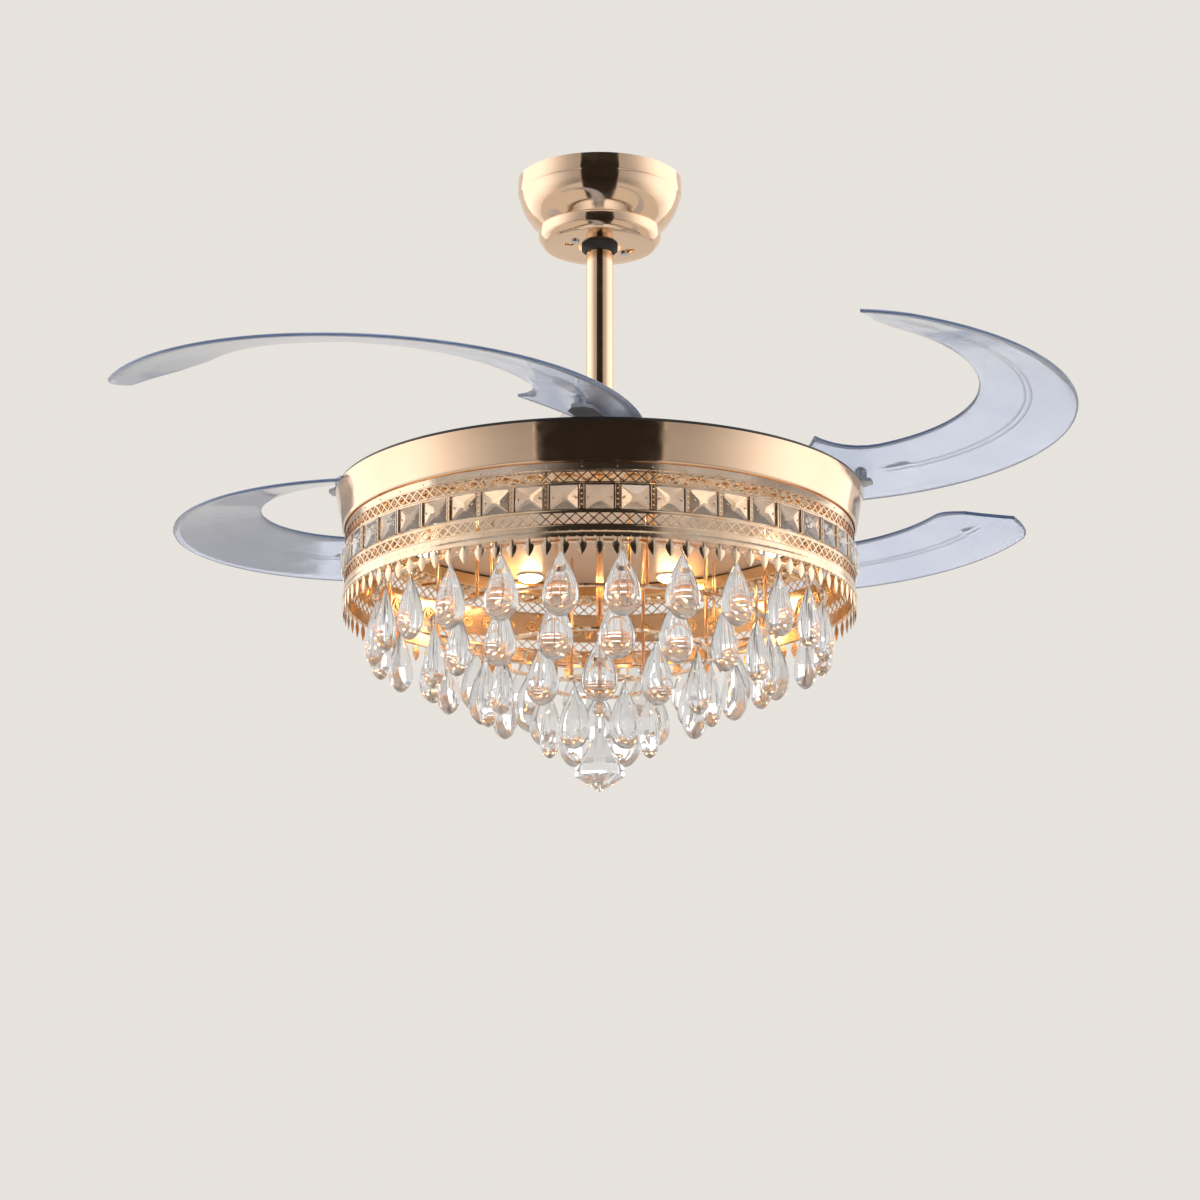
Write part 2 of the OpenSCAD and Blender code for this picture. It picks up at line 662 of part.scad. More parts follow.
// puts a piece that is drawn folded at +X into the pose shown, at pivot k
module at_blade(k) rotate([0, 0, -90 * (k - 1)]) translate([pivot_r, 0, -drop_len])
  rotate([0, 0, open_deg]) children();

function screw_top(p) = let (r = norm([pivot_r + p[0], p[1]]), a = atan2(p[1], pivot_r + p[0]))
  blade_mid(r, a) + blade_t / 2 + 1.2;

module blade(k) color(clear) at_blade(k) difference() {
  union() {
    translate([-pivot_r, 0, 0]) polyhedron(points = blade_pts, faces = blade_faces);
    translate([0, 0, arm_top]) cylinder(r = boss_r, h = boss_top - arm_top);
    for (p = blade_screws) translate([p[0], p[1], arm_top])
      cylinder(r = 5.5, h = screw_top(p) - arm_top);
  }
  cylinder(r = pivot_bolt_r + fit, h = 2 * boss_top);
  translate([0, 0, boss_top]) cylinder(r = bolt_seat_r, h = boss_top);
  for (p = blade_screws) translate([p[0], p[1], 0])
    cylinder(r = blade_screw_r + fit, h = 3 * boss_top);
}

// toothed sector: its teeth meet the ring gear from the pose shown to the folded one
sector_teeth = [for (j = [-2 : 6]) 180 - open_deg + (j + 0.5) * 360 / arm_teeth];

module blade_arm(k) color([0.62, 0.63, 0.65]) at_blade(k) difference() {
  union() {
    translate([0, 0, seat]) cylinder(r = arm_hub_r, h = arm_top - seat);
    translate([0, 0, gear_z]) linear_extrude(height = gear_t) polygon(concat(
      [[0, 0]], [for (a = sector_teeth) each tooth(arm_pitch_r, a)]));
    translate([0, 0, arm_z]) linear_extrude(height = arm_t) polygon(
      [[-arm_hub_r + 1, 2], [arm_hub_r - 2, 2], [arm_hub_r - 4, -12], [-1, -50], [-9, -57],
       [-20, -55], [-24, -46]]);
  }
  cylinder(r = pivot_bolt_r + fit, h = 4 * arm_top, center = true);
  for (p = blade_screws) translate([p[0], p[1], 0])
    cylinder(r = blade_screw_r + fit, h = 2 * arm_top);
}

module blade_screws_set(k) color(steel) at_blade(k)
  for (p = blade_screws) translate([p[0], p[1], 0]) {
  translate([0, 0, arm_z]) cylinder(r = blade_screw_r, h = screw_top(p) - arm_z + 0.5);
  translate([0, 0, screw_top(p)]) cylinder(r = 2 * blade_screw_r, h = 1.6);
}

module blade_1() blade(1);
module blade_2() blade(2);
module blade_3() blade(3);
module blade_4() blade(4);
module blade_arm_1() blade_arm(1);
module blade_arm_2() blade_arm(2);
module blade_arm_3() blade_arm(3);
module blade_arm_4() blade_arm(4);
module blade_screws_1() blade_screws_set(1);
module blade_screws_2() blade_screws_set(2);
module blade_screws_3() blade_screws_set(3);
module blade_screws_4() blade_screws_set(4);

// ---------- lamp drum ----------

module lamp_plate() color(steel) at_rim(-lamp_plate_z - plate_t)
  tube(crown_in_r - rest_gap, shaft_r + fit, plate_t);

module lamp_nuts() color(steel) at_rim() {
  translate([0, 0, -lamp_plate_z - plate_t - 6]) difference() {
    hexagon(shaft_r + 6, 6);
    translate([0, 0, -1]) cylinder(r = shaft_r + fit, h = 8);
  }
  translate([0, 0, pan_face - rod_nut_h]) difference() {
    hexagon(centre_rod_r + 4, rod_nut_h);
    translate([0, 0, -1]) cylinder(r = centre_rod_r + fit, h = rod_nut_h + 2);
  }
}

module gold_ring() color(gold) at_rim() rotate_extrude() polygon(
  [[ring_r, -bead_h], [ring_r - ring_flare * 0.35, -ring_h * 0.35],
   [ring_r - ring_flare * 0.75, -ring_h * 0.72], [ring_r - ring_flare, -ring_h],
   [crown_r + rest_gap, -ring_h], [crown_r + rest_gap, -ring_h + 2],
   [ring_r - ring_flare - ring_wall / 2, -ring_h + 2.6],
   [ring_r - ring_flare * 0.75 - ring_wall, -ring_h * 0.72],
   [ring_r - ring_flare * 0.35 - ring_wall, -ring_h * 0.35], [ring_r - ring_wall, -bead_h]]);

module rim_bead() color(black) at_rim() rotate_extrude() polygon(
  [[ring_r, -bead_h], [ring_r, -bead_h * 0.4], [ring_r - 0.7, 0], [ring_r - 1.7, 0],
   [ring_r - 2.4, -bead_h * 0.4], [ring_r - 2.4, -bead_h]]);

// plain stretch of the crown's wall, with a small rib at depth rib
module plain_band(top, low, rib) rotate_extrude() polygon(
  [[crown_in_r, -low], [crown_r, -low], [crown_r, -rib - 0.7], [crown_r + 1.2, -rib - 0.7],
   [crown_r + 1.2, -rib + 0.7], [crown_r, -rib + 0.7], [crown_r, -top], [crown_in_r, -top]]);

module lattice_band(z) translate([0, 0, -z]) difference() {
  translate([0, 0, -lattice_h / 2]) tube(crown_r, crown_in_r, lattice_h);
  for (i = [0 : diamonds_n / 2 - 1]) rotate([0, 0, i * 360 / diamonds_n]) rotate([45, 0, 0])
    cube([2.2 * crown_r, 0.52 * lattice_h, 0.52 * lattice_h], center = true);
}

// stretch of the wall with the bars between the squares
module square_band(low, h) translate([0, 0, -low]) linear_extrude(height = h) {
  difference() {
    circle(r = crown_r);
    circle(r = crown_in_r);
  }
  for (i = [0 : squares_n - 1]) rotate([0, 0, (i + 0.5) * 360 / squares_n])
    translate([crown_r - crown_wall / 2, -bar_w / 2]) square([crown_wall / 2 + bar_out, bar_w]);
}

lattice_half = lattice_h / 2;
squares_top = squares_z - square_h / 2;
squares_low = squares_z + square_h / 2;

module crown_band() color(gold) at_rim() {
  plain_band(crown_top, upper_lattice_z - lattice_half, upper_lattice_z - lattice_half - 1);
  lattice_band(upper_lattice_z);
  plain_band(upper_lattice_z + lattice_half, squares_top, upper_lattice_z + lattice_half + 1);
  square_band(squares_low, square_h);
  plain_band(squares_low, lower_lattice_z - lattice_half, lower_lattice_z - lattice_half - 1);
  lattice_band(lower_lattice_z);
  plain_band(lower_lattice_z + lattice_half, crown_depth, lower_lattice_z + lattice_half + 1);
}

// square crystal with a low pyramid face, its back at x = 0
sq_y = square_w / 2;
sq_z = square_h / 2;
sq_pts = [[0, -sq_y, -sq_z], [0, sq_y, -sq_z], [0, sq_y, sq_z], [0, -sq_y, sq_z],
          [1.5, -sq_y, -sq_z], [1.5, sq_y, -sq_z], [1.5, sq_y, sq_z], [1.5, -sq_y, sq_z],
          [square_rise, -2, -2], [square_rise, 2, -2], [square_rise, 2, 2], [square_rise, -2, 2]];
sq_faces = concat([[0, 1, 2, 3], [11, 10, 9, 8]],
  [for (i = [0 : 3]) [i, i + 4, (i + 1) % 4 + 4, (i + 1) % 4]],
  [for (i = [4 : 7]) [i, i + 4, (i + 1) % 4 + 8, (i + 1) % 4 + 4]]);

module square_crystals() color(crystal) at_rim(-squares_z)
  around(squares_n, crown_r + rest_gap) polyhedron(points = sq_pts, faces = sq_faces);

leaf_half = [[0.14, 0.2], [0.5, -0.22], [0.36, -0.55], [0, -1]];

module leaf_fringe() color(gold) at_rim(-crown_depth) {
  translate([0, 0, -0.5]) tube(crown_r + 1.5, crown_r + rest_gap, 6);
  around(leaves_n, crown_r + rest_gap + 0.1) rotate([90, 0, 90]) linear_extrude(height = 1.2)
    polygon(concat([for (p = leaf_half) [p[0] * leaf_w, p[1] * leaf_l]],
                   [for (i = [2 : -1 : 0]) [-leaf_half[i][0] * leaf_w, leaf_half[i][1] * leaf_l]]));
}

module reflector_plate() color(gold) at_rim(-reflector_z) rotate_extrude() polygon(
  [[centre_rod_r + fit, pan_h - plate_t], [pan_r - plate_t, pan_h - plate_t], [pan_r - plate_t, 0],
   [crown_in_r - rest_gap, 0], [crown_in_r - rest_gap, plate_t], [pan_r, plate_t], [pan_r, pan_h],
   [centre_rod_r + fit, pan_h]]);

module led_driver() color(white) at_rim(-reflector_z + pan_h + driver_size[2] / 2)
  translate([driver_x, 0, 0]) cube(driver_size, center = true);

module light_boards() color(white) at_rim(pan_face - plate_t)
  around(lights_n, light_orbit, 22.5) cylinder(r = light_r, h = plate_t);

module light_lenses() color([1, 0.93, 0.8, 0.8]) at_rim(pan_face - plate_t)
  around(lights_n, light_orbit, 22.5) rotate_extrude() polygon(
    [[0, 0], [light_r - 1, 0], [light_r - 1.6, -2.2], [light_r * 0.6, -4.2],
     [light_r * 0.3, -5], [0, -5.2]]);

function tier_top(t) = -t[1] + drop_l + hook_l;

module tier_rings() color(gold) for (t = tiers) at_rim(tier_top(t))
  tube(t[0] + tier_w / 2, t[0] - tier_w / 2, tier_t);

module tier_posts() color(gold) for (t = tiers)
  let (top = t[0] < pan_r - plate_t ? pan_face : -reflector_z,
       low = tier_top(t) + tier_t)
    at_rim(low) around(t[4], t[0], t[3] + 180 / t[2]) cylinder(r = post_r, h = top - low);

module drop_hooks() color(gold) for (t = tiers) at_rim(-t[1] + drop_l)
  around(t[2], t[0], t[3]) cylinder(r = hook_r, h = hook_l);

// almond drop hanging from z = 0, with its thin way along the radius
drop_pts = [for (g = drop_rings) for (k = [0 : 7]) let (c = cos(45 * k), s = sin(45 * k))
  [c * drop_t / 2 * g[1], s * drop_w / 2 * g[1], -g[0] * drop_l]];
drop_faces = concat(
  [[for (k = [7 : -1 : 0]) k]],
  [for (i = [0 : 2]) for (k = [0 : 7]) let (b = 8 * i, n = (k + 1) % 8)
    each [[b + k, b + n, b + 8 + n], [b + k, b + 8 + n, b + 8 + k]]],
  [for (k = [0 : 7]) [24 + k, 24 + (k + 1) % 8, 32]]);
drop_solid = [for (i = [0 : 32]) drop_pts[i]];

module drops(t) color(crystal) at_rim(-t[1] + drop_l) around(t[2], t[0], t[3])
  polyhedron(points = drop_solid, faces = drop_faces);

module drops_tier_1() drops(tiers[0]);
module drops_tier_2() drops(tiers[1]);
module drops_tier_3() drops(tiers[2]);
module drops_tier_4() drops(tiers[3]);

bead_top = -bead_z + sqrt(bead_r * bead_r - centre_rod_r * centre_rod_r);

module finial_rod() color(gold) at_rim(bead_top) {
  cylinder(r = centre_rod_r, h = shaft_end + 10 - bead_top);
  translate([0, 0, -stud_l]) cylinder(r = stud_r, h = stud_l + 0.5);
}

// one cut piece: point, girdle, long cone, stem and bead, drilled for the rod's stud
module finial_crystal() color(crystal) at_rim(-finial_depth) difference() {
  union() {
    cylinder(r1 = 0.5, r2 = finial_r, h = finial_girdle[0], $fn = finial_sides);
    translate([0, 0, finial_girdle[0]])
      cylinder(r = finial_r, h = finial_girdle[1] - finial_girdle[0], $fn = finial_sides);
    translate([0, 0, finial_girdle[1]])
      cylinder(r1 = finial_r, r2 = finial_neck_r, h = finial_l - finial_girdle[1], $fn = finial_sides);
    translate([0, 0, finial_l - 0.5]) cylinder(r = finial_neck_r - 1.5, h = finial_depth - bead_z - finial_l);
    translate([0, 0, finial_depth - bead_z]) sphere(r = bead_r);
  }
  translate([0, 0, finial_depth + bead_top - stud_l - fit]) cylinder(r = stud_r + fit, h = stud_l + 2);
  translate([0, 0, finial_depth + bead_top]) cylinder(r = bead_r, h = bead_r);
}

// ---------- one line for each piece ----------

mounting_bracket();
canopy();
canopy_screws();
receiver_box();
hanger_ball();
ball_pin();
rod_collar();
downrod();
rod_coupling();
coupling_screws();
motor_shaft();
stator_core();
stator_windings();
bearing_inner_rings();
rotor_upper_shell();
rotor_lower_shell();
rotor_magnets();
bearing_outer_rings();
bearing_balls();
hub_cover();
hub_trim_ring();
blade_carrier();
carrier_screws();
pivot_bolts();
pivot_nuts();
return_springs();
ring_gear_rollers();
ring_gear();
blade_1();
blade_2();
blade_3();
blade_4();
blade_arm_1();
blade_arm_2();
blade_arm_3();
blade_arm_4();
blade_screws_1();
blade_screws_2();
blade_screws_3();
blade_screws_4();
lamp_plate();
lamp_nuts();
gold_ring();
rim_bead();
crown_band();
square_crystals();
leaf_fringe();
reflector_plate();
led_driver();
light_boards();
light_lenses();
tier_rings();
tier_posts();
drop_hooks();
drops_tier_1();
drops_tier_2();
drops_tier_3();
drops_tier_4();
finial_rod();
finial_crystal();
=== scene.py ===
"""Looks of the folding blade ceiling fan with its crystal lamp drum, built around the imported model."""
import json
import math

import bpy
import bmesh
from mathutils import Matrix, Vector


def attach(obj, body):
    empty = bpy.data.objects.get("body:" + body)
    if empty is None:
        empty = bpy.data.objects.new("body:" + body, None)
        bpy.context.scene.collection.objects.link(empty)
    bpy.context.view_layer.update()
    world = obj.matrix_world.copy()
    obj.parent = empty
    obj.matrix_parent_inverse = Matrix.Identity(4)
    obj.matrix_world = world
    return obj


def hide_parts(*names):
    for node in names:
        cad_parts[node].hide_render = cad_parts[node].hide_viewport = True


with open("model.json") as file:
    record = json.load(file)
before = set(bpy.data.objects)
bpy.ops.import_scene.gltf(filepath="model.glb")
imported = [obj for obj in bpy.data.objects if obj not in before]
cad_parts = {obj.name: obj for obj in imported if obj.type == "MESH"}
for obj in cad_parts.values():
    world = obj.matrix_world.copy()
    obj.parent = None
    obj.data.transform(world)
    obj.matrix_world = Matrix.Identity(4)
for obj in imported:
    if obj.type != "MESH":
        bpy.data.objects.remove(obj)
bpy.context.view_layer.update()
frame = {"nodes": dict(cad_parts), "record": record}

MM = 0.001
TAU = 2 * math.pi
RIM = -318.0            # height of the gold ring's top rim, in mm

# sizes in mm, as in the part's source; the lattice is finer here, and holes have their clearance added
CANOPY_R, CANOPY_H, CANOPY_WALL, CANOPY_FLOOR_R, CANOPY_HOLE_R = 78.2, 66, 1.4, 52, 21
KEY_R, KEY_ANGLE = 29.5, 35.5
RING_R, RING_H, RING_FLARE, RING_WALL, BEAD_H = 250, 38, 7, 1.5, 3
CROWN_R, CROWN_IN_R, CROWN_TOP, CROWN_DEPTH = 241.5, 239.5, 16, 108
UPPER_LATTICE_Z, LOWER_LATTICE_Z, LATTICE_H, LATTICE_N = 52.5, 91.5, 10, 142
SQUARES_Z, SQUARES_N, SQUARE_W, SQUARE_H, SQUARE_RISE = 72, 48, 25, 22, 5
BAR_W, BAR_OUT = 4.5, 3.5
LEAVES_N, LEAF_L, LEAF_W = 96, 17, 10
REFLECTOR_Z, PAN_R, PAN_H, PLATE_T, CENTRE_ROD_R = 48, 205, 15, 2, 3.5
MOTOR_H, COVER_T, COVER_RISE, ROD_R = 44, 1.5, 47, 13
TIERS = [(212, 173, 24, -84.5), (160, 200, 18, -84.5), (105, 227, 12, -90), (47, 257, 6, -60)]
DROP_L, HOOK_L, HOOK_R = 61, 7, 1
FINIAL_DEPTH, FINIAL_L, FINIAL_R, BEAD_Z, BEAD_R = 289, 51, 23, 210, 7
PIVOT_R, OPEN_DEG, BLADES_N, BLADE_T = 204, 84.3, 4, 3.5
BLADE_OUT_R, BLADE_IN_R, FIN_W, BLADE_SWEEP = 246, 158, 28, 165
BLADE_Z, BLADE_RISE, BLADE_SLOPE = 15.7, 29.2, 0.269
ROOT_ROUND, TIP_ROUND, TIP_INNER_ROUND = 32, 24, 18
BOSS_R, BOSS_TOP, ARM_TOP, BOLT_R, BOLT_SEAT_R = 13, 18.7, 9.5, 5.05, 9.5
BLADE_SCREWS = [(-7, -26), (-13, -46)]
BLADE_SCREW_HOLE_R, SCREW_POST_R = 1.65, 5.5
HUB_R, HUB_SKIRT = 86.8, 12

# ornament that only the looks carry
WALL_SCROLLS_N, REFLECTOR_SCROLLS_N, PEARLS_N, PEARL_R = 64, 48, 132, 2.4
TURNED_STEPS = 288      # straight stretches round a turned piece of the drum

# ---------------------------------------------------------------- camera and light

CAM_PLACE = (0.00024, -3.302, -1.277)
CAM_TILT = 104.52
CAM_LENS = 107.985


def show(obj):
    bpy.context.scene.collection.objects.link(obj)


camera = bpy.data.objects.new("camera", bpy.data.cameras.new("camera"))
camera.location = CAM_PLACE
camera.rotation_euler = (math.radians(CAM_TILT), 0, 0)
camera.data.lens = CAM_LENS
camera.data.sensor_width = 36
show(camera)
bpy.context.scene.camera = camera
bpy.context.scene.view_settings.view_transform = "Standard"

BACKGROUND = (0.80, 0.765, 0.72, 1)
AMBIENT = (0.62, 0.61, 0.60, 1)
AMBIENT_STRENGTH = 0.8
FAN_MIDDLE = (0, 0, -0.3)


def background_rays(tree):
    """One for rays from the camera, through glass or off a polished surface, and nought for the rest."""
    path = tree.nodes.new("ShaderNodeLightPath")
    found = path.outputs["Is Camera Ray"]
    for kind in ("Is Transmission Ray", "Is Glossy Ray"):
        either = tree.nodes.new("ShaderNodeMath")
        either.operation = "MAXIMUM"
        tree.links.new(found, either.inputs[0])
        tree.links.new(path.outputs[kind], either.inputs[1])
        found = either.outputs[0]
    return found


def make_world():
    """Pale surroundings for what the camera, glass and metal see, a softer light for the rest."""
    world = bpy.data.worlds.new("studio")
    bpy.context.scene.world = world
    world.use_nodes = True
    tree = world.node_tree
    tree.nodes.clear()
    seen = tree.nodes.new("ShaderNodeBackground")
    seen.inputs["Color"].default_value = BACKGROUND
    ambient = tree.nodes.new("ShaderNodeBackground")
    ambient.inputs["Color"].default_value = AMBIENT
    ambient.inputs["Strength"].default_value = AMBIENT_STRENGTH
    mixed = tree.nodes.new("ShaderNodeMixShader")
    out = tree.nodes.new("ShaderNodeOutputWorld")
    link = tree.links.new
    link(background_rays(tree), mixed.inputs[0])
    link(ambient.outputs[0], mixed.inputs[1])
    link(seen.outputs[0], mixed.inputs[2])
    link(mixed.outputs[0], out.inputs[0])


def lamp(name, place, size, power, colour=(1, 1, 1), mirrored=False):
    """Softbox aimed at the fan; its power is in watts."""
    data = bpy.data.lights.new(name, "AREA")
    data.shape = "RECTANGLE"
    data.size, data.size_y = size
    data.energy = power
    data.color = colour
    obj = bpy.data.objects.new(name, data)
    obj.location = place
    obj.rotation_euler = (Vector(FAN_MIDDLE) - Vector(place)).to_track_quat("-Z", "Y").to_euler()
    obj.visible_glossy = mirrored
    show(obj)


WARM_WHITE = (1, 0.98, 0.95)
make_world()
lamp("softbox_left", (-4.2, -3.2, 0.3), (3.6, 4.6), 82, WARM_WHITE)
lamp("softbox_right", (4.2, -3.2, 0.3), (3.6, 4.6), 82, WARM_WHITE)
lamp("softbox_top", (0, -0.8, 2.6), (2.4, 2.4), 34, mirrored=True)
lamp("softbox_back", (0.6, 3.4, 0.8), (2.4, 1.6), 26)

# ---------------------------------------------------------------- materials

NOISE_SPAN = (0.3, 0.7)      # where most of a noise's values lie

def new_material(name):
    material = bpy.data.materials.new(name)
    material.use_nodes = True
    tree = material.node_tree
    return material, tree, tree.nodes["Principled BSDF"]


def noise(tree, scale, detail=3, stretch=(1, 1, 1)):
    """Noise in the piece's own space; scale is in waves a metre."""
    where = tree.nodes.new("ShaderNodeTexCoord")
    mapping = tree.nodes.new("ShaderNodeMapping")
    mapping.inputs["Scale"].default_value = stretch
    texture = tree.nodes.new("ShaderNodeTexNoise")
    texture.inputs["Scale"].default_value = scale
    texture.inputs["Detail"].default_value = detail
    tree.links.new(where.outputs["Object"], mapping.inputs["Vector"])
    tree.links.new(mapping.outputs["Vector"], texture.inputs["Vector"])
    return texture.outputs["Fac"]


def map_range(tree, source, ends, values, how="LINEAR"):
    """Carries a value from one span to another."""
    node = tree.nodes.new("ShaderNodeMapRange")
    node.interpolation_type = how
    node.inputs["From Min"].default_value, node.inputs["From Max"].default_value = ends
    node.inputs["To Min"].default_value, node.inputs["To Max"].default_value = values
    tree.links.new(source, node.inputs["Value"])
    return node.outputs["Result"]


def two_colours(tree, source, first, second):
    """Blends two colours by a noise."""
    ramp = tree.nodes.new("ShaderNodeValToRGB")
    for element, place_on_ramp, colour in zip(ramp.color_ramp.elements, NOISE_SPAN, (first, second)):
        element.position = place_on_ramp
        element.color = (*colour, 1)
    tree.links.new(source, ramp.inputs["Fac"])
    return ramp.outputs["Color"]


def add_relief(tree, shader, height, strength, distance):
    """Bump from a noise; the distance is in metres."""
    relief = tree.nodes.new("ShaderNodeBump")
    relief.inputs["Strength"].default_value = strength
    relief.inputs["Distance"].default_value = distance
    tree.links.new(height, relief.inputs["Height"])
    tree.links.new(relief.outputs["Normal"], shader.inputs["Normal"])


def finish(name, first, second, rough, metallic, blotch, grain, bump, stretch=(1, 1, 1), coat=0.0):
    """Opaque finish: soft colour blotches, roughness that wanders and a fine grain in the bump."""
    material, tree, shader = new_material(name)
    shader.inputs["Metallic"].default_value = metallic
    shader.inputs["Coat Weight"].default_value = coat
    wide = noise(tree, blotch)
    fine = noise(tree, grain, 4, stretch)
    tree.links.new(two_colours(tree, wide, first, second), shader.inputs["Base Color"])
    tree.links.new(map_range(tree, fine, NOISE_SPAN, rough), shader.inputs["Roughness"])
    add_relief(tree, shader, fine, bump, 0.0005)
    return material


def clear_finish(name, first, second, transmission, ior, rough, bump=0.02):
    """Glass or acrylic: a faint wander in its tint and a slow ripple from moulding or polishing."""
    material, tree, shader = new_material(name)
    shader.inputs["Transmission Weight"].default_value = transmission
    shader.inputs["IOR"].default_value = ior
    wide = noise(tree, 14)
    ripple = noise(tree, 60, 1)
    tree.links.new(two_colours(tree, wide, first, second), shader.inputs["Base Color"])
    tree.links.new(map_range(tree, ripple, NOISE_SPAN, rough), shader.inputs["Roughness"])
    add_relief(tree, shader, ripple, bump, 0.001)
    return material


def lens_finish():
    """Frosted cover of a lit module."""
    material = clear_finish("lens_frosted", (1, 0.9, 0.74), (1, 0.94, 0.82), 0.3, 1.45, (0.4, 0.55))
    shader = material.node_tree.nodes["Principled BSDF"]
    shader.inputs["Emission Color"].default_value = (1, 0.70, 0.38, 1)
    shader.inputs["Emission Strength"].default_value = 17
    return material


GOLD = finish("gold_polished", (0.80, 0.55, 0.36), (0.85, 0.61, 0.42), (0.07, 0.15), 1.0, 9, 90, 0.015)
GOLD_LACE = finish("gold_pressed", (0.78, 0.55, 0.36), (0.90, 0.69, 0.49),
                   (0.10, 0.20), 1.0, 60, 900, 0.10)
GOLD_INSIDE = finish("gold_mirror", (0.80, 0.48, 0.22), (0.86, 0.56, 0.30),
                     (0.10, 0.22), 1.0, 20, 300, 0.05)
GOLD_RELIEF = finish("gold_relief", (0.92, 0.66, 0.36), (1.0, 0.78, 0.50),
                     (0.22, 0.36), 1.0, 60, 700, 0.08)
PAN = finish("pan_satin", (0.93, 0.74, 0.59), (0.97, 0.80, 0.66), (0.30, 0.42), 0.3, 8, 400, 0.04)
CHROME = finish("hub_polished", (0.66, 0.66, 0.68), (0.74, 0.74, 0.75), (0.08, 0.18), 1.0, 12, 200, 0.03)
STEEL = finish("steel_zinc", (0.52, 0.53, 0.55), (0.62, 0.62, 0.62), (0.22, 0.42), 1.0, 90, 1200, 0.1)
CAST = finish("cast_satin", (0.48, 0.49, 0.51), (0.56, 0.57, 0.58), (0.38, 0.55), 1.0, 50, 1600, 0.3)
IRON = finish("iron_laminated", (0.13, 0.13, 0.14), (0.19, 0.19, 0.20),
              (0.4, 0.6), 1.0, 70, 250, 0.6, (1, 1, 12))
MAGNET = finish("magnet_nickel", (0.22, 0.22, 0.23), (0.30, 0.30, 0.31), (0.3, 0.5), 1.0, 60, 900, 0.15)
COPPER = finish("copper_wire", (0.46, 0.17, 0.06), (0.62, 0.26, 0.10),
                (0.2, 0.4), 0.9, 120, 420, 0.9, (1, 1, 6), 0.4)
PLASTIC = finish("plastic_white", (0.80, 0.79, 0.76), (0.85, 0.84, 0.82), (0.38, 0.5), 0.0, 30, 1500, 0.15)
RUBBER = finish("rubber_black", (0.014, 0.014, 0.014), (0.03, 0.029, 0.028),
                (0.5, 0.7), 0.0, 70, 1400, 0.35)
TRIM = finish("trim_black", (0.006, 0.005, 0.004), (0.012, 0.009, 0.008), (0.3, 0.45), 0.0, 30, 500, 0.03)
PEARL = finish("bead_pearl", (0.82, 0.78, 0.70), (0.92, 0.88, 0.82),
               (0.15, 0.3), 0.1, 200, 900, 0.05, coat=0.7)
ACRYLIC = clear_finish("acrylic_pale_blue", (0.58, 0.63, 0.76), (0.64, 0.69, 0.80),
                       0.52, 1.49, (0.03, 0.10), 0.03)
# dark blue for the blades' rims: painted shade standing in for the dark line that the clear plate's edge
# shows in the light
ACRYLIC_PAINTED_EDGE_SHADE = clear_finish("acrylic_painted_edge_shade", (0.10, 0.17, 0.34), (0.16, 0.24, 0.42),
                            0.5, 1.49, (0.08, 0.18))
CRYSTAL = clear_finish("crystal_cut", (0.93, 0.96, 1), (0.98, 0.99, 1), 0.92, 1.47, (0.0, 0.03), 0.01)
SQUARE_GLASS = clear_finish("crystal_square", (0.97, 0.91, 0.84), (1, 0.96, 0.91),
                            0.88, 1.6, (0.0, 0.02), 0.01)
LENS = lens_finish()

SLOT_FINISH = {
    "gold": GOLD, "pale_metal": CHROME, "steel": STEEL, "cast_metal": CAST, "motor_iron": IRON,
    "magnet": MAGNET, "copper": COPPER, "white_plastic": PLASTIC, "black_rubber": RUBBER,
    "black_trim": TRIM, "clear_blade": ACRYLIC, "crystal": CRYSTAL, "frosted_lens": LENS,
}
for part in frame["record"]["subparts"]:
    node = frame["nodes"][part["node"]]
    node.data.materials.clear()
    node.data.materials.append(SLOT_FINISH[part["material_slot"]])

# ---------------------------------------------------------------- mesh building


def soften(data, sharp):
    """Smooth shading that stays crisp where faces meet at more than so many degrees."""
    data.shade_smooth()
    data.set_sharp_from_angle(angle=math.radians(sharp))


class Shape:
    """Collects points in mm, faces and a material number for each face."""

    def __init__(self):
        self.points, self.faces, self.kinds = [], [], []

    def add(self, points, faces, matrix=None, kind=0):
        base = len(self.points)
        self.points += [tuple(matrix @ Vector(p)) if matrix else tuple(p) for p in points]
        self.faces += [tuple(base + i for i in f) for f in faces]
        self.kinds += [kind] * len(faces)

    def mesh(self, name, materials, sharp):
        data = bpy.data.meshes.new(name)
        data.from_pydata([[c * MM for c in p] for p in self.points], [], self.faces)
        for material in materials:
            data.materials.append(material)
        data.polygons.foreach_set("material_index", self.kinds)
        grown = bmesh.new()
        grown.from_mesh(data)
        bmesh.ops.recalc_face_normals(grown, faces=grown.faces)
        grown.to_mesh(data)
        grown.free()
        soften(data, sharp)
        return data

    def piece(self, name, materials, body, slot, nodes=(), sharp=32):
        place(name, self.mesh(name, materials, sharp), body, slot, nodes)


def place(name, data, body, slot, nodes=()):
    """Puts a piece on its body, in the stead of the CAD nodes that it replaces."""
    obj = bpy.data.objects.new(name, data)
    show(obj)
    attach(obj, body)
    if nodes:
        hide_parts(*nodes)


def turn(degrees):
    return Matrix.Rotation(math.radians(degrees), 4, "Z")


def shift(x, y, z):
    return Matrix.Translation((x, y, z))


def circle(r, z, sides):
    return [(r * math.cos(TAU * k / sides), r * math.sin(TAU * k / sides), z) for k in range(sides)]


def lathe(profile, n):
    """Turns a closed half section round Z. Points are (radius, height)."""
    points, faces = [], []
    m = len(profile)
    for i in range(n):
        c, s = math.cos(TAU * i / n), math.sin(TAU * i / n)
        points += [(r * c, r * s, z) for r, z in profile]
    for i in range(n):
        for j in range(m):
            a, b = i * m, (i + 1) % n * m
            k = (j + 1) % m
            faces.append((a + j, b + j, b + k, a + k))
    return points, faces


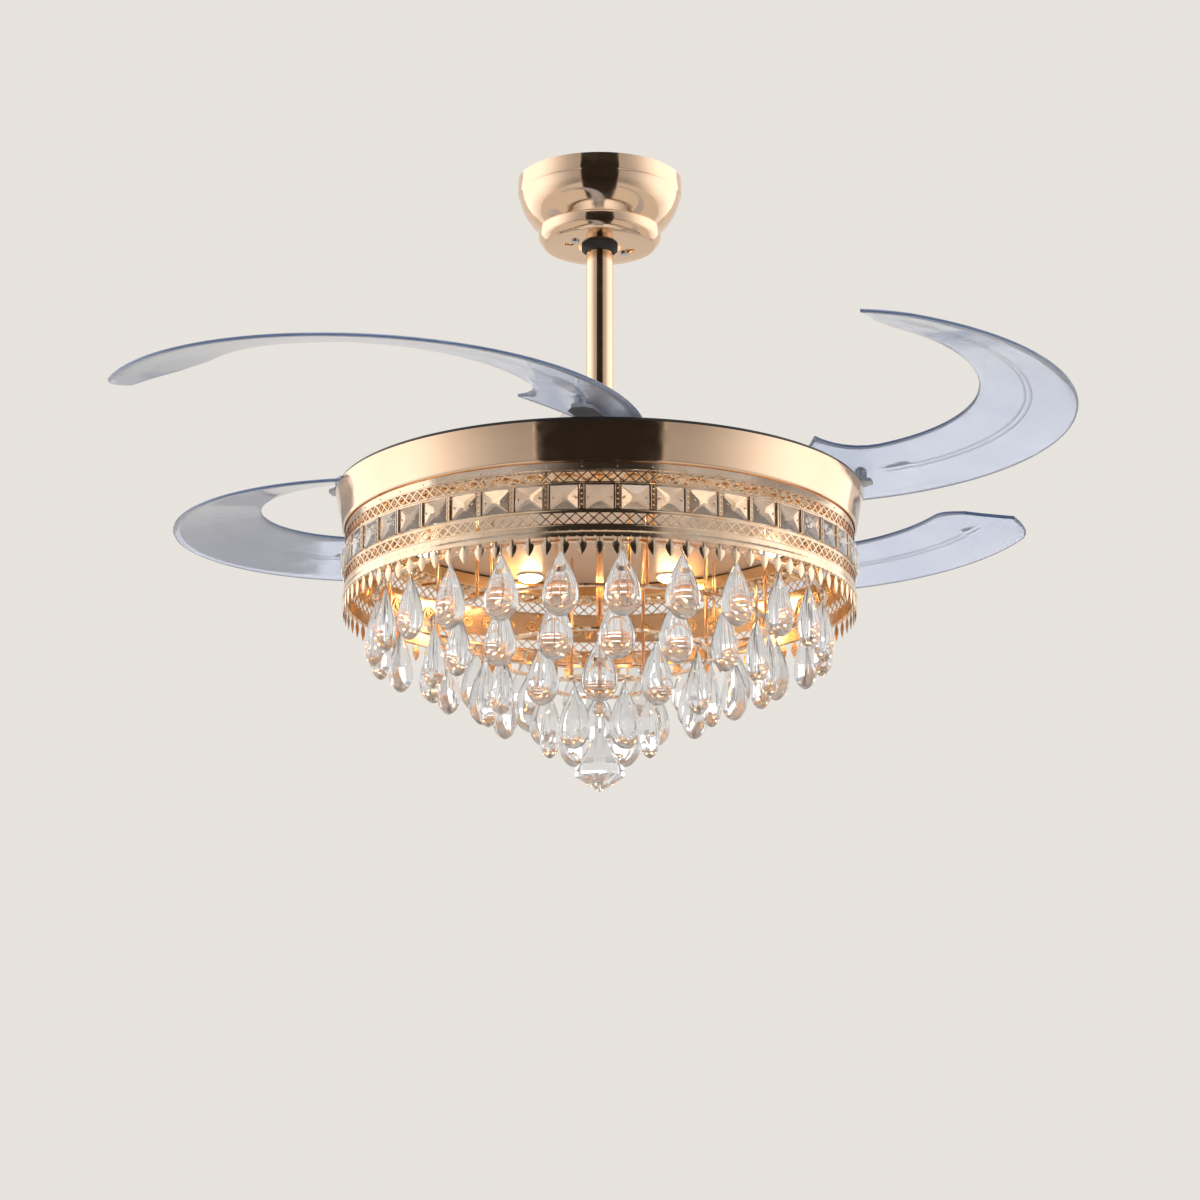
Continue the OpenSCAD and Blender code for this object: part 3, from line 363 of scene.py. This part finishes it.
def smooth_line(points, steps=5):
    """Catmull-Rom line through the points."""
    ends = [points[0]] + list(points) + [points[-1]]
    line = []
    for i in range(1, len(ends) - 2):
        p0, p1, p2, p3 = ends[i - 1:i + 3]
        for k in range(steps):
            t = k / steps
            line.append(tuple(
                0.5 * (2 * p1[d] + (p2[d] - p0[d]) * t + (2 * p0[d] - 5 * p1[d] + 4 * p2[d] - p3[d]) * t * t
                       + (3 * p1[d] - p0[d] - 3 * p2[d] + p3[d]) * t ** 3)
                for d in range(len(p1))))
    line.append(tuple(points[-1]))
    return line


def walled(outside, wall):
    """Closed half section from an outside line and a wall thickness towards the axis."""
    inside = []
    for i, (r, z) in enumerate(outside):
        a, b = outside[max(i - 1, 0)], outside[min(i + 1, len(outside) - 1)]
        d = Vector((b[0] - a[0], b[1] - a[1])).normalized()
        inside.append((r + d[1] * wall, z - d[0] * wall))
    return list(outside) + inside[::-1]


def stack(sections, closed=True):
    """Skins a pile of equal loops, each a list of points, and closes both ends unless told not to."""
    n = len(sections[0])
    points = [p for loop in sections for p in loop]
    faces = [(i * n + k, i * n + (k + 1) % n, (i + 1) * n + (k + 1) % n, (i + 1) * n + k)
             for i in range(len(sections) - 1) for k in range(n)]
    if closed:
        faces.append(tuple(range(n))[::-1])
        faces.append(tuple((len(sections) - 1) * n + k for k in range(n)))
    return points, faces


def ball(r, rings=6, sides=10):
    loops = [circle(r * math.sin(math.pi * i / rings), r * math.cos(math.pi * i / rings), sides)
             for i in range(1, rings)]
    points, faces = stack(loops, False)
    n = len(points)
    points += [(0, 0, r), (0, 0, -r)]
    last = n - sides
    for k in range(sides):
        faces.append((n, k, (k + 1) % sides))
        faces.append((n + 1, last + (k + 1) % sides, last + k))
    return points, faces


def wire(path, r, sides=6):
    """Round wire along a path, with closed ends."""
    loops = []
    for i, p in enumerate(path):
        a, b = Vector(path[max(i - 1, 0)]), Vector(path[min(i + 1, len(path) - 1)])
        d = (b - a).normalized()
        side = d.cross(Vector((0, 0, 1)))
        side = (side if side.length > 0.05 else d.cross(Vector((1, 0, 0)))).normalized()
        up = side.cross(d)
        loops.append([tuple(Vector(p) + (side * x + up * y) * r) for x, y, _ in circle(1, 0, sides)])
    return stack(loops)


def around(shape, n, first, radius, z, item, kind=0):
    """Copies an item, drawn at the origin with +X outwards, n times round the axis."""
    for i in range(n):
        shape.add(*item, turn(first + 360 * i / n) @ shift(radius, 0, z), kind)


def cut(target, cutter, how="DIFFERENCE"):
    """Applies a boolean to a mesh and returns the result; both inputs are used up."""
    a = bpy.data.objects.new("cut_target", target)
    b = bpy.data.objects.new("cut_tool", cutter)
    for obj in (a, b):
        show(obj)
    modifier = a.modifiers.new("cut", "BOOLEAN")
    modifier.operation, modifier.solver, modifier.object = how, "EXACT", b
    graph = bpy.context.evaluated_depsgraph_get()
    made = bpy.data.meshes.new_from_object(a.evaluated_get(graph))
    for obj in (a, b):
        bpy.data.objects.remove(obj)
    return made


# ---------------------------------------------------------------- canopy and hub


KEYHOLE = [(2.5, 0), (1.8, 1.8), (0, 2.5), (-1.8, 1.8), (-2.5, 0), (-2.5, -5.2), (-4.4, -7), (-5, -9.5),
           (-4.3, -12.2), (-2.4, -14), (0, -14.6), (2.4, -14), (4.3, -12.2), (5, -9.5), (4.4, -7),
           (2.5, -5.2)]


def canopy():
    bowl = smooth_line([(77.2, -16), (75.2, -24), (71.2, -33), (65.7, -41), (59.7, -47.5), (57.2, -50)], 4)
    lower = smooth_line([(57.4, -50.8), (58, -52), (57.6, -59), (54, -64.5),
                         (CANOPY_FLOOR_R, -CANOPY_H)], 5)
    outside = [(CANOPY_R, 0), (CANOPY_R, -7), (CANOPY_R, -14), (77.8, -15)] + bowl + lower
    outside += [(40, -CANOPY_H), (CANOPY_HOLE_R, -CANOPY_H)]
    shape = Shape()
    shape.add(*lathe(walled(outside, -CANOPY_WALL), 160))
    holes = Shape()
    for side in (0, 180):
        holes.add(*stack([[(x, y, z) for x, y in KEYHOLE] for z in (-3, 3)]),
                  turn(KEY_ANGLE + side) @ shift(KEY_R, 0, -CANOPY_H))
    data = cut(shape.mesh("canopy_shell", [GOLD], 30), holes.mesh("keyholes", [GOLD], 30))
    soften(data, 30)
    place("canopy_shell", data, "ceiling", "gold", ["canopy"])


def hub():
    base = RIM + MOTOR_H + 0.3
    line = smooth_line([(HUB_R, 2), (74, 8.5), (60, 15.5), (46, COVER_RISE - 24), (37, COVER_RISE - 12),
                        (26, COVER_RISE - 3), (ROD_R + 6, COVER_RISE)], 5)
    outside = [(HUB_R, -HUB_SKIRT), (HUB_R, -4)] + line
    shape = Shape()
    shape.add(*lathe([(r, z + base) for r, z in walled(outside, -COVER_T)], 128))
    shape.piece("hub_dome", [CHROME], "rotor", "pale_metal", ["hub_cover"])


# ---------------------------------------------------------------- ring and crown


def gold_ring():
    flare = smooth_line([(RING_R, -BEAD_H), (RING_R - 2.45, -13.3), (RING_R - 5.25, -27.4),
                         (RING_R - RING_FLARE, -RING_H + 0.8)], 6)
    outside = flare + [(RING_R - RING_FLARE - 0.3, -RING_H + 0.2), (RING_R - RING_FLARE - 0.8, -RING_H)]
    section = walled(outside, -RING_WALL)
    shape = Shape()
    shape.add(*lathe([(r, z + RIM) for r, z in section], TURNED_STEPS))
    shape.piece("gold_ring_flared", [GOLD], "mast", "gold", ["gold_ring"])
    # black bead on the ring's top edge: a painted dark reflection along the rim
    bead = Shape()
    section = [(RING_R, -BEAD_H), (RING_R, -0.9), (RING_R - 0.3, -0.3), (RING_R - 0.9, 0),
               (RING_R - 1.7, 0), (RING_R - 2.2, -0.4), (RING_R - 2.4, -BEAD_H)]
    bead.add(*lathe([(r, z + RIM) for r, z in section], TURNED_STEPS))
    bead.piece("rim_bead_painted_dark_reflection", [TRIM], "mast", "black_trim", ["rim_bead"])


LACE_W, LACE_T = 1.5, 1.2


def lattice(shape, depth):
    """Two sets of crossing strips over a band of the crown's wall."""
    half = LATTICE_H / 2
    step = 360 / LATTICE_N
    for i in range(LATTICE_N):
        for lean in (-0.5, 0.5):
            loops = []
            for z, t in ((-half, -lean), (0, 0), (half, lean)):
                a = math.radians(step * (i + t))
                tangent = Vector((-math.sin(a), math.cos(a), 0)) * LACE_W / 2
                inner, outer = CROWN_R - LACE_T, CROWN_R + 0.15
                low = Vector((inner * math.cos(a), inner * math.sin(a), RIM - depth + z))
                high = Vector((outer * math.cos(a), outer * math.sin(a), RIM - depth + z))
                loops.append([low - tangent, low + tangent, high + tangent, high - tangent])
            shape.add(*stack([[tuple(p) for p in loop] for loop in loops]))


def wall_ring(shape, top, low):
    """Plain stretch of the crown with a rolled lip at each edge."""
    lip_r = CROWN_R + 0.5
    low, top = RIM - low, RIM - top
    shape.add(*lathe([(CROWN_IN_R, low), (lip_r, low), (lip_r, low + 0.8), (CROWN_R, low + 1.4),
                      (CROWN_R, top - 1.4), (lip_r, top - 0.8), (lip_r, top), (CROWN_IN_R, top)],
                     TURNED_STEPS))


def square_bars(shape):
    """Raised bars between the squares, each with a hollow down its middle and a row of studs in it."""
    half = SQUARE_H / 2
    side, front = BAR_W / 2, BAR_OUT
    section = [(0, -side), (front - 0.6, -side), (front, -side + 0.6), (front, -1), (front - 0.7, -0.5),
               (front - 0.7, 0.5), (front, 1), (front, side - 0.6), (front - 0.6, side), (0, side)]
    bar = stack([[(x, y, z) for x, y in section] for z in (-half, half)])
    around(shape, SQUARES_N, 180 / SQUARES_N, CROWN_R - 0.2, RIM - SQUARES_Z, bar)
    stud = ball(1.05, 4, 8)
    for z in (-7.5, -2.5, 2.5, 7.5):
        around(shape, SQUARES_N, 180 / SQUARES_N, CROWN_R + BAR_OUT - 0.9, RIM - SQUARES_Z + z, stud)


def scroll_wire(r, shrink, tail_step, thick):
    """Flat spiral with a tail, drawn in the XY plane."""
    spiral = [((r - shrink * k) * math.cos(0.42 * k), (r - shrink * k) * math.sin(0.42 * k), 0)
              for k in range(30)]
    tail = [(r + tail_step * k, -1.9 * tail_step * k - 0.06 * k * k, 0) for k in range(1, 7)]
    return wire(tail[::-1] + spiral, thick)


def scroll_row(shape, n, curl, place_of_curl, facing, flip_first, kind):
    """Copies a scroll n times round the axis, in mirrored pairs."""
    for i in range(n):
        flip = Matrix.Diagonal((1, -1 if i % 2 else 1, 1, 1))
        posed = flip @ facing if flip_first else facing @ flip
        shape.add(*curl, turn(360 * i / n) @ place_of_curl @ posed, kind)


def wall_scrolls(shape):
    """Pressed scrolls on the inside of the wall."""
    upright = Matrix(((0, 0, 1, 0), (1, 0, 0, 0), (0, 1, 0, 0), (0, 0, 0, 1)))
    scroll_row(shape, WALL_SCROLLS_N, scroll_wire(7, 0.2, 0.6, 1.1),
               shift(CROWN_IN_R - 0.5, 0, RIM - SQUARES_Z - 2), upright, True, 1)


def crown():
    shape = Shape()
    squares_top, squares_low = SQUARES_Z - SQUARE_H / 2, SQUARES_Z + SQUARE_H / 2
    half = LATTICE_H / 2
    wall_ring(shape, CROWN_TOP, UPPER_LATTICE_Z - half)
    wall_ring(shape, UPPER_LATTICE_Z + half, squares_top)
    shape.add(*lathe([(CROWN_IN_R, RIM - squares_low), (CROWN_R, RIM - squares_low),
                      (CROWN_R, RIM - squares_top), (CROWN_IN_R, RIM - squares_top)], TURNED_STEPS))
    wall_ring(shape, squares_low, LOWER_LATTICE_Z - half)
    wall_ring(shape, LOWER_LATTICE_Z + half, CROWN_DEPTH)
    lattice(shape, UPPER_LATTICE_Z)
    lattice(shape, LOWER_LATTICE_Z)
    square_bars(shape)
    wall_scrolls(shape)
    prong = ball(1.1, 4, 8)
    for side in (-1, 1):
        prong_from = math.degrees(side * (SQUARE_W / 2 - 3) / CROWN_R)
        around(shape, SQUARES_N, prong_from, CROWN_R + 2.9, RIM - SQUARES_Z, prong)
    rivet = ball(0.75, 4, 6)
    around(shape, 3 * SQUARES_N, 60 / SQUARES_N, CROWN_R + 0.1, RIM - CROWN_DEPTH + 5.5, rivet)
    around(shape, SQUARES_N, 180 / SQUARES_N, CROWN_R + 0.1, RIM - UPPER_LATTICE_Z + half + 4, rivet)
    shape.piece("crown_lace", [GOLD_LACE, GOLD_RELIEF], "mast", "gold", ["crown_band"])


def square_crystals():
    y, z = SQUARE_W / 2, SQUARE_H / 2

    def loop(x, grow):
        ky, kz = y - grow, z - grow
        return [(x, -ky, -kz), (x, ky, -kz), (x, ky, kz), (x, -ky, kz)]

    item = stack([loop(0, 0.6), loop(0.5, 0), loop(1.5, 0), loop(2.3, 2.2),
                  [(SQUARE_RISE, -2, -2), (SQUARE_RISE, 2, -2), (SQUARE_RISE, 2, 2), (SQUARE_RISE, -2, 2)]])
    shape = Shape()
    around(shape, SQUARES_N, 0, CROWN_R + 0.1, RIM - SQUARES_Z, item)
    shape.piece("square_crystals_cut", [SQUARE_GLASS], "mast", "crystal", ["square_crystals"], 8)


def fringe():
    shape = Shape()
    r0, foot = CROWN_R + 0.1, RIM - CROWN_DEPTH
    shape.add(*lathe([(r0, foot - 0.5), (r0 + 1.5, foot - 0.5), (r0 + 1.7, foot + 2.5),
                      (r0 + 1.2, foot + 5), (r0, foot + 5.5)], TURNED_STEPS))
    outline = [(0, 0.12), (0.13, 0.08), (0.15, -0.06), (0.34, -0.22), (0.47, -0.40), (0.46, -0.52),
               (0.34, -0.70), (0.16, -0.87), (0, -1)]
    full = outline + [(-x, z) for x, z in outline[-2:0:-1]]
    rings = [[(x, wide * LEAF_W * grow, (z + 0.45) * LEAF_L * grow - 0.45 * LEAF_L) for wide, z in full]
             for x, grow in ((0, 1), (0.45, 1), (1.15, 0.55), (1.45, 0.08))]
    around(shape, LEAVES_N, 0, r0 + 0.1, foot, stack(rings))
    around(shape, 2 * LEAVES_N, 0.9, r0 + 1.1, foot - 0.1, ball(0.85, 5, 8))
    shape.piece("leaf_fringe_pressed", [GOLD_LACE], "mast", "gold", ["leaf_fringe"], 22)


# ---------------------------------------------------------------- inside of the drum


def reflector():
    face, t = RIM - REFLECTOR_Z, PLATE_T
    r_in, r_out, pan = CENTRE_ROD_R + 0.05, CROWN_IN_R - 0.1, PAN_R
    shape = Shape()
    roof = face + PAN_H
    steps = 256
    shape.add(*lathe([(pan - t, roof - t - 1.2), (pan - t, face + 0.8), (pan - t + 0.8, face),
                      (r_out, face), (r_out, face + t), (pan, face + t), (pan, roof - t)], steps))
    shape.add(*lathe([(r_in, roof - t), (pan - t - 1.2, roof - t), (pan - t - 0.2, roof - t + 0.3),
                      (pan, roof), (r_in, roof)], steps), kind=1)
    scroll_row(shape, REFLECTOR_SCROLLS_N, scroll_wire(8.4, 0.235, 0.9, 1.25),
               shift((pan + r_out) / 2 + 1, 0, face - 0.7), turn(90), False, 2)
    shape.piece("reflector_scrolled", [GOLD_INSIDE, PAN, GOLD_RELIEF], "mast", "gold", ["reflector_plate"])
    pearls = Shape()
    around(pearls, PEARLS_N, 0, pan + 3.6, face - 1.5, ball(PEARL_R, 6, 10))
    pearls.piece("reflector_pearls", [PEARL], "mast", "white_plastic")


# share of the drop's length down from its top, and how wide it is there
DROP_LINE = smooth_line([(0, 0.05), (0.1, 0.22), (0.2, 0.42), (0.3, 0.61), (0.4, 0.76), (0.5, 0.88),
                         (0.6, 0.965), (0.68, 0.99), (0.77, 0.96), (0.86, 0.82), (0.93, 0.6), (0.98, 0.33),
                         (1, 0.08)], 2)
DROP_HALF = [(9.5, -5.6), (9.5, 5.6), (7.6, 11.2), (4.2, 15.2), (0, 17), (-4.2, 15.2), (-7.6, 11.2)]
DROP_SECTION = DROP_HALF + [(-x, -y) for x, y in DROP_HALF]


def crystal_drops():
    item = stack([[(x * g, y * g, -h * DROP_L) for x, y in DROP_SECTION] for h, g in DROP_LINE])
    hooks, beads = Shape(), Shape()
    bead = ball(2.6, 6, 8)
    for number, (radius, depth, n, first) in enumerate(TIERS, 1):
        top = RIM - depth + DROP_L
        shape = Shape()
        around(shape, n, first, radius, top, item)
        shape.piece(f"drops_almond_{number}", [CRYSTAL], "mast", "crystal", [f"drops_tier_{number}"], 20)
        pin = wire([(0, 0, -1.2), (0, 0, 0.4), (0.35, 0, 3), (-0.35, 0, 5.5), (0, 0, HOOK_L)], HOOK_R * 0.6)
        around(hooks, n, first, radius, top, pin)
        around(beads, n, first, radius, top + HOOK_L / 2, bead)
    hooks.piece("drop_wires", [GOLD_LACE], "mast", "gold", ["drop_hooks"])
    beads.piece("drop_beads", [CRYSTAL], "mast", "crystal", (), 20)


def finial():
    base, sides = RIM - FINIAL_DEPTH, 8
    shape = Shape()
    neck = 0.3 * FINIAL_R
    body = [(0.5, 0), (FINIAL_R * 0.55, 7.4), (FINIAL_R, 14), (FINIAL_R, 22), (FINIAL_R * 0.66, 35.5),
            (neck, FINIAL_L)]
    shape.add(*stack([circle(r, z, sides) for r, z in body]), shift(0, 0, base))
    stem_low, stem_high = base + FINIAL_L, RIM - BEAD_Z - BEAD_R + 0.8
    stem = [(neck * 0.8, stem_low), (4.2, stem_low + 4), (5.4, (stem_low + stem_high) / 2),
            (4.2, stem_high - 4), (3.6, stem_high)]
    shape.add(*stack([circle(r, z, sides) for r, z in stem]))
    shape.add(*ball(BEAD_R, 10, 16), shift(0, 0, RIM - BEAD_Z))
    shape.piece("finial_cut", [CRYSTAL], "mast", "crystal", ["finial_crystal"], 14)


# ---------------------------------------------------------------- blades


def mix(a, b, w):
    return a + (b - a) * w


def inner_deg(a):
    """Angle of the blade's inner edge where its outer edge is at a; the tip is cut back."""
    return a + 8 * max(0, (-125 - a) / 40)


def outer_edge(a):
    if a > -6:
        return BLADE_OUT_R - ROOT_ROUND + ROOT_ROUND * math.sqrt(max(0, 1 - ((a + 6) / 14) ** 2 * 0.98))
    return BLADE_OUT_R - TIP_ROUND * ((-155 - a) / 10) ** 2 if a < -155 else BLADE_OUT_R


def inner_edge(a):
    if a > -2:
        return mix(BLADE_IN_R - FIN_W, PIVOT_R - 12, (a + 2) / 10)
    if a > -24:
        return BLADE_IN_R - FIN_W * ((a + 24) / 22) ** 2
    return BLADE_IN_R + TIP_INNER_ROUND * ((-152 - a) / 13) ** 2 if a < -152 else BLADE_IN_R


def blade_mid(r, a):
    """Height of the middle of the plate over the drum's rim."""
    t = -a / BLADE_SWEEP
    return BLADE_Z + BLADE_RISE * (0.514 * t + 0.486 * t * t) + BLADE_SLOPE * (PIVOT_R - 2 - r)


BLADE_STEPS = ([8, 7.4, 6.6, 5.4, 4, 2, 0, -2, -4, -6.5, -9, -12, -16, -20, -24]
               + [-27 - 3 * k for k in range(40)]
               + [-147, -150, -152, -154, -156, -158, -160, -161.5, -163, -164.2, -BLADE_SWEEP])
# the rounded edge: millimetres in from the edge, and the share of the full thickness there
ROUNDED_EDGE = [(0, 0.0), (0.35, 0.62), (1.0, 0.9), (1.9, 1.0)]
FLAT_PLACES = (0.12, 0.24, 0.36, 0.5, 0.64, 0.76, 0.88)
RIBS = (0.47, 0.53)          # places of the two ribs across the blade
RIB_SIDES = ((-0.012, 0), (-0.005, 1), (0.005, 1), (0.012, 0))
RIB_HIGH = 0.7
CUT_LOW, CUT_HIGH = -20, 60  # heights that pass right through the blade


def plate_loop(a0):
    """Section of the plate with its outer edge at a0 degrees: over the top and back underneath."""
    r_in, r_out = inner_edge(a0), outer_edge(a0)
    wide = abs(r_out - r_in)
    fade = min(1, max(0, (-18 - a0) / 14), max(0, (a0 + 156) / 10))
    stations = [(d / wide, h, 0) for d, h in ROUNDED_EDGE]
    stations += [(rib + off, 1, f) for rib in RIBS for off, f in RIB_SIDES]
    stations += [(w, 1, 0) for w in FLAT_PLACES]
    stations += [(1 - d / wide, h, 0) for d, h in ROUNDED_EDGE]
    stations.sort()

    def point(w, h, f, side):
        r, a = mix(r_in, r_out, w), mix(inner_deg(a0), a0, w)
        z = blade_mid(r, a) + side * h * BLADE_T / 2 + (RIB_HIGH * f * fade if side > 0 else 0)
        return r * math.cos(math.radians(a)), r * math.sin(math.radians(a)), z

    return ([point(w, h, f, 1) for w, h, f in stations]
            + [point(w, h, f, -1) for w, h, f in stations[::-1] if h != 0])


def blade_plate():
    """The shaped plate, with dark blue painted on its rim, tip and root: painted shade for the dark line
    that the clear plate's edge shows.
    """
    columns = [plate_loop(a0) for a0 in BLADE_STEPS]
    shape = Shape()
    shape.add(*stack(columns))
    count = len(columns[0])
    top = 2 * len(ROUNDED_EDGE) + len(RIBS) * len(RIB_SIDES) + len(FLAT_PLACES)
    # the rim, tip and root faces take the dark blue of the painted edge shade
    rim = {0, top - 2, top - 1, count - 1}
    for i in range(len(shape.faces) - 2):
        if i % count in rim:
            shape.kinds[i] = 1
    shape.kinds[-1] = shape.kinds[-2] = 1
    return shape.mesh("blade_plate", [ACRYLIC, ACRYLIC_PAINTED_EDGE_SHADE], 35)


def blade_posts():
    """The boss round the pivot bolt and a post for each blade screw."""
    shape = Shape()
    boss = [(BOSS_R, ARM_TOP), (BOSS_R, BOSS_TOP - 0.8), (BOSS_R - 0.8, BOSS_TOP)]
    shape.add(*stack([circle(r, z, 40) for r, z in boss]), shift(PIVOT_R, 0, 0))
    for x, y in BLADE_SCREWS:
        r, a = math.hypot(PIVOT_R + x, y), math.degrees(math.atan2(y, PIVOT_R + x))
        high = blade_mid(r, a) + BLADE_T / 2 + 1.2
        post = [(SCREW_POST_R, ARM_TOP), (SCREW_POST_R, high - 0.5), (SCREW_POST_R - 0.5, high)]
        shape.add(*stack([circle(q, z, 24) for q, z in post]), shift(PIVOT_R + x, y, 0))
    return shape.mesh("blade_posts", [ACRYLIC], 35)


def bolt_seat():
    """Cutter for the flat seat under the pivot bolt's head."""
    shape = Shape()
    loops = [circle(BOLT_SEAT_R, z, 40) for z in (BOSS_TOP + 0.02, CUT_HIGH)]
    shape.add(*stack(loops), shift(PIVOT_R, 0, 0))
    return shape.mesh("bolt_seat", [ACRYLIC], 35)


def blade_holes():
    """Cutter for the pivot bolt's hole and the screws' holes."""
    shape = Shape()
    for x, y, r in [(0, 0, BOLT_R)] + [(x, y, BLADE_SCREW_HOLE_R) for x, y in BLADE_SCREWS]:
        shape.add(*stack([circle(r, z, 24) for z in (CUT_LOW, CUT_HIGH)]), shift(PIVOT_R + x, y, 0))
    return shape.mesh("blade_drill", [ACRYLIC], 35)


def blade_mesh():
    """One blade, folded, in mm about the drum's rim: a shaped plate with rounded edges and two ribs."""
    made = cut(blade_plate(), blade_posts(), "UNION")
    made = cut(made, bolt_seat())
    return cut(made, blade_holes())


def blades():
    folded = blade_mesh()
    for k in range(1, BLADES_N + 1):
        data = folded.copy()
        opened = shift(PIVOT_R * MM, 0, RIM * MM) @ turn(OPEN_DEG) @ shift(-PIVOT_R * MM, 0, 0)
        data.transform(turn(-360 / BLADES_N * (k - 1)) @ opened)
        soften(data, 35)
        place(f"blade_clear_{k}", data, f"blade_{k}", "clear_blade", [f"blade_{k}"])


canopy()
hub()
gold_ring()
crown()
square_crystals()
fringe()
reflector()
crystal_drops()
finial()
blades()

# ---------------------------------------------------------------- floor, panels and flag, in metres

FLOOR_Z, FLOOR_R, FLOOR_GLOW = -4.8, 28, 0.8
PANEL_R, PANEL_FROM, PANEL_TO, PANEL_HIGH, PANEL_STEPS = 5.5, 27.5, 138, 3.4, 32
FLAG_Y, FLAG_HALF, FLAG_HIGH = -6.2, 3.1, 3.2
NEAR_Y, NEAR_HALF = -0.5, 0.25
STAGE_LOW = -2.4                 # height where the panels are dimmest
SHEET_LOW = STAGE_LOW + 0.02     # lower edge of the panels, and height of the flag's level part


def stage_sheet(name, points, faces, material):
    data = bpy.data.meshes.new(name)
    data.from_pydata(points, [], faces)
    data.materials.append(material)
    obj = bpy.data.objects.new(name, data)
    show(obj)
    return obj


def floor_finish():
    """Matt pale floor, seen near the background's own colour with its shadows kept."""
    material = finish("floor_pale", (0.70, 0.67, 0.63), (0.74, 0.71, 0.67), (0.6, 0.8), 0.0, 1.5, 60, 0.05)
    tree = material.node_tree
    out = tree.nodes["Material Output"]
    glow = tree.nodes.new("ShaderNodeEmission")
    glow.inputs["Color"].default_value = BACKGROUND
    share = tree.nodes.new("ShaderNodeMath")
    share.operation = "MULTIPLY"
    share.inputs[1].default_value = FLOOR_GLOW
    mixed = tree.nodes.new("ShaderNodeMixShader")
    link = tree.links.new
    link(background_rays(tree), share.inputs[0])
    link(share.outputs[0], mixed.inputs[0])
    link(tree.nodes["Principled BSDF"].outputs[0], mixed.inputs[1])
    link(glow.outputs[0], mixed.inputs[2])
    link(mixed.outputs[0], out.inputs["Surface"])
    return material


def glow_finish():
    """Bright panel: strongest at the sides, fading towards the flag and downwards."""
    material = bpy.data.materials.new("panel_glow")
    material.use_nodes = True
    tree = material.node_tree
    tree.nodes.clear()
    where = tree.nodes.new("ShaderNodeTexCoord")
    split = tree.nodes.new("ShaderNodeSeparateXYZ")
    glow = tree.nodes.new("ShaderNodeEmission")
    out = tree.nodes.new("ShaderNodeOutputMaterial")
    power = tree.nodes.new("ShaderNodeMath")
    power.operation = "MULTIPLY"
    tree.links.new(where.outputs["Object"], split.inputs[0])
    along = map_range(tree, split.outputs["Y"], (-4.9, 0.4), (0.5, 1.7), "SMOOTHSTEP")
    upward = map_range(tree, split.outputs["Z"], (STAGE_LOW, -0.4), (0.6, 1.0), "SMOOTHSTEP")
    tree.links.new(along, power.inputs[0])
    tree.links.new(upward, power.inputs[1])
    glow.inputs["Color"].default_value = (0.98, 0.98, 1, 1)
    tree.links.new(power.outputs[0], glow.inputs["Strength"])
    tree.links.new(glow.outputs[0], out.inputs["Surface"])
    return material


def mirrored_only(obj):
    """Seen in polished surfaces and nowhere else."""
    obj.visible_camera = obj.visible_diffuse = obj.visible_shadow = obj.visible_transmission = False


def panel(name, side):
    """Curved panel beside the fan, from beside the camera round towards the back."""
    edge = []
    for k in range(PANEL_STEPS + 1):
        way = math.radians(PANEL_FROM + (PANEL_TO - PANEL_FROM) * k / PANEL_STEPS)
        edge.append((side * PANEL_R * math.sin(way), -PANEL_R * math.cos(way)))
    points = [(x, y, z) for x, y in edge for z in (SHEET_LOW, PANEL_HIGH)]
    faces = [(2 * k, 2 * k + 2, 2 * k + 3, 2 * k + 1) for k in range(PANEL_STEPS)]
    mirrored_only(stage_sheet(name, points, faces, GLOW))


def flag():
    """Dark sheet behind the camera, level from its foot to below the fan: the dark middle in the metal."""
    points = [(-NEAR_HALF, NEAR_Y, SHEET_LOW), (NEAR_HALF, NEAR_Y, SHEET_LOW),
              (FLAG_HALF, FLAG_Y, SHEET_LOW), (-FLAG_HALF, FLAG_Y, SHEET_LOW),
              (FLAG_HALF, FLAG_Y, FLAG_HIGH), (-FLAG_HALF, FLAG_Y, FLAG_HIGH)]
    mirrored_only(stage_sheet("flag", points, [(0, 1, 2, 3), (3, 2, 4, 5)], FLAG))


FLOOR = floor_finish()
GLOW = glow_finish()
FLAG = finish("flag_black", (0.012, 0.009, 0.007), (0.02, 0.015, 0.012), (0.8, 0.9), 0.0, 2, 30, 0.05)
floor_rim = circle(FLOOR_R, FLOOR_Z, 96)
stage_sheet("floor", floor_rim, [tuple(range(len(floor_rim)))], FLOOR)
panel("panel_left", -1)
panel("panel_right", 1)
flag()
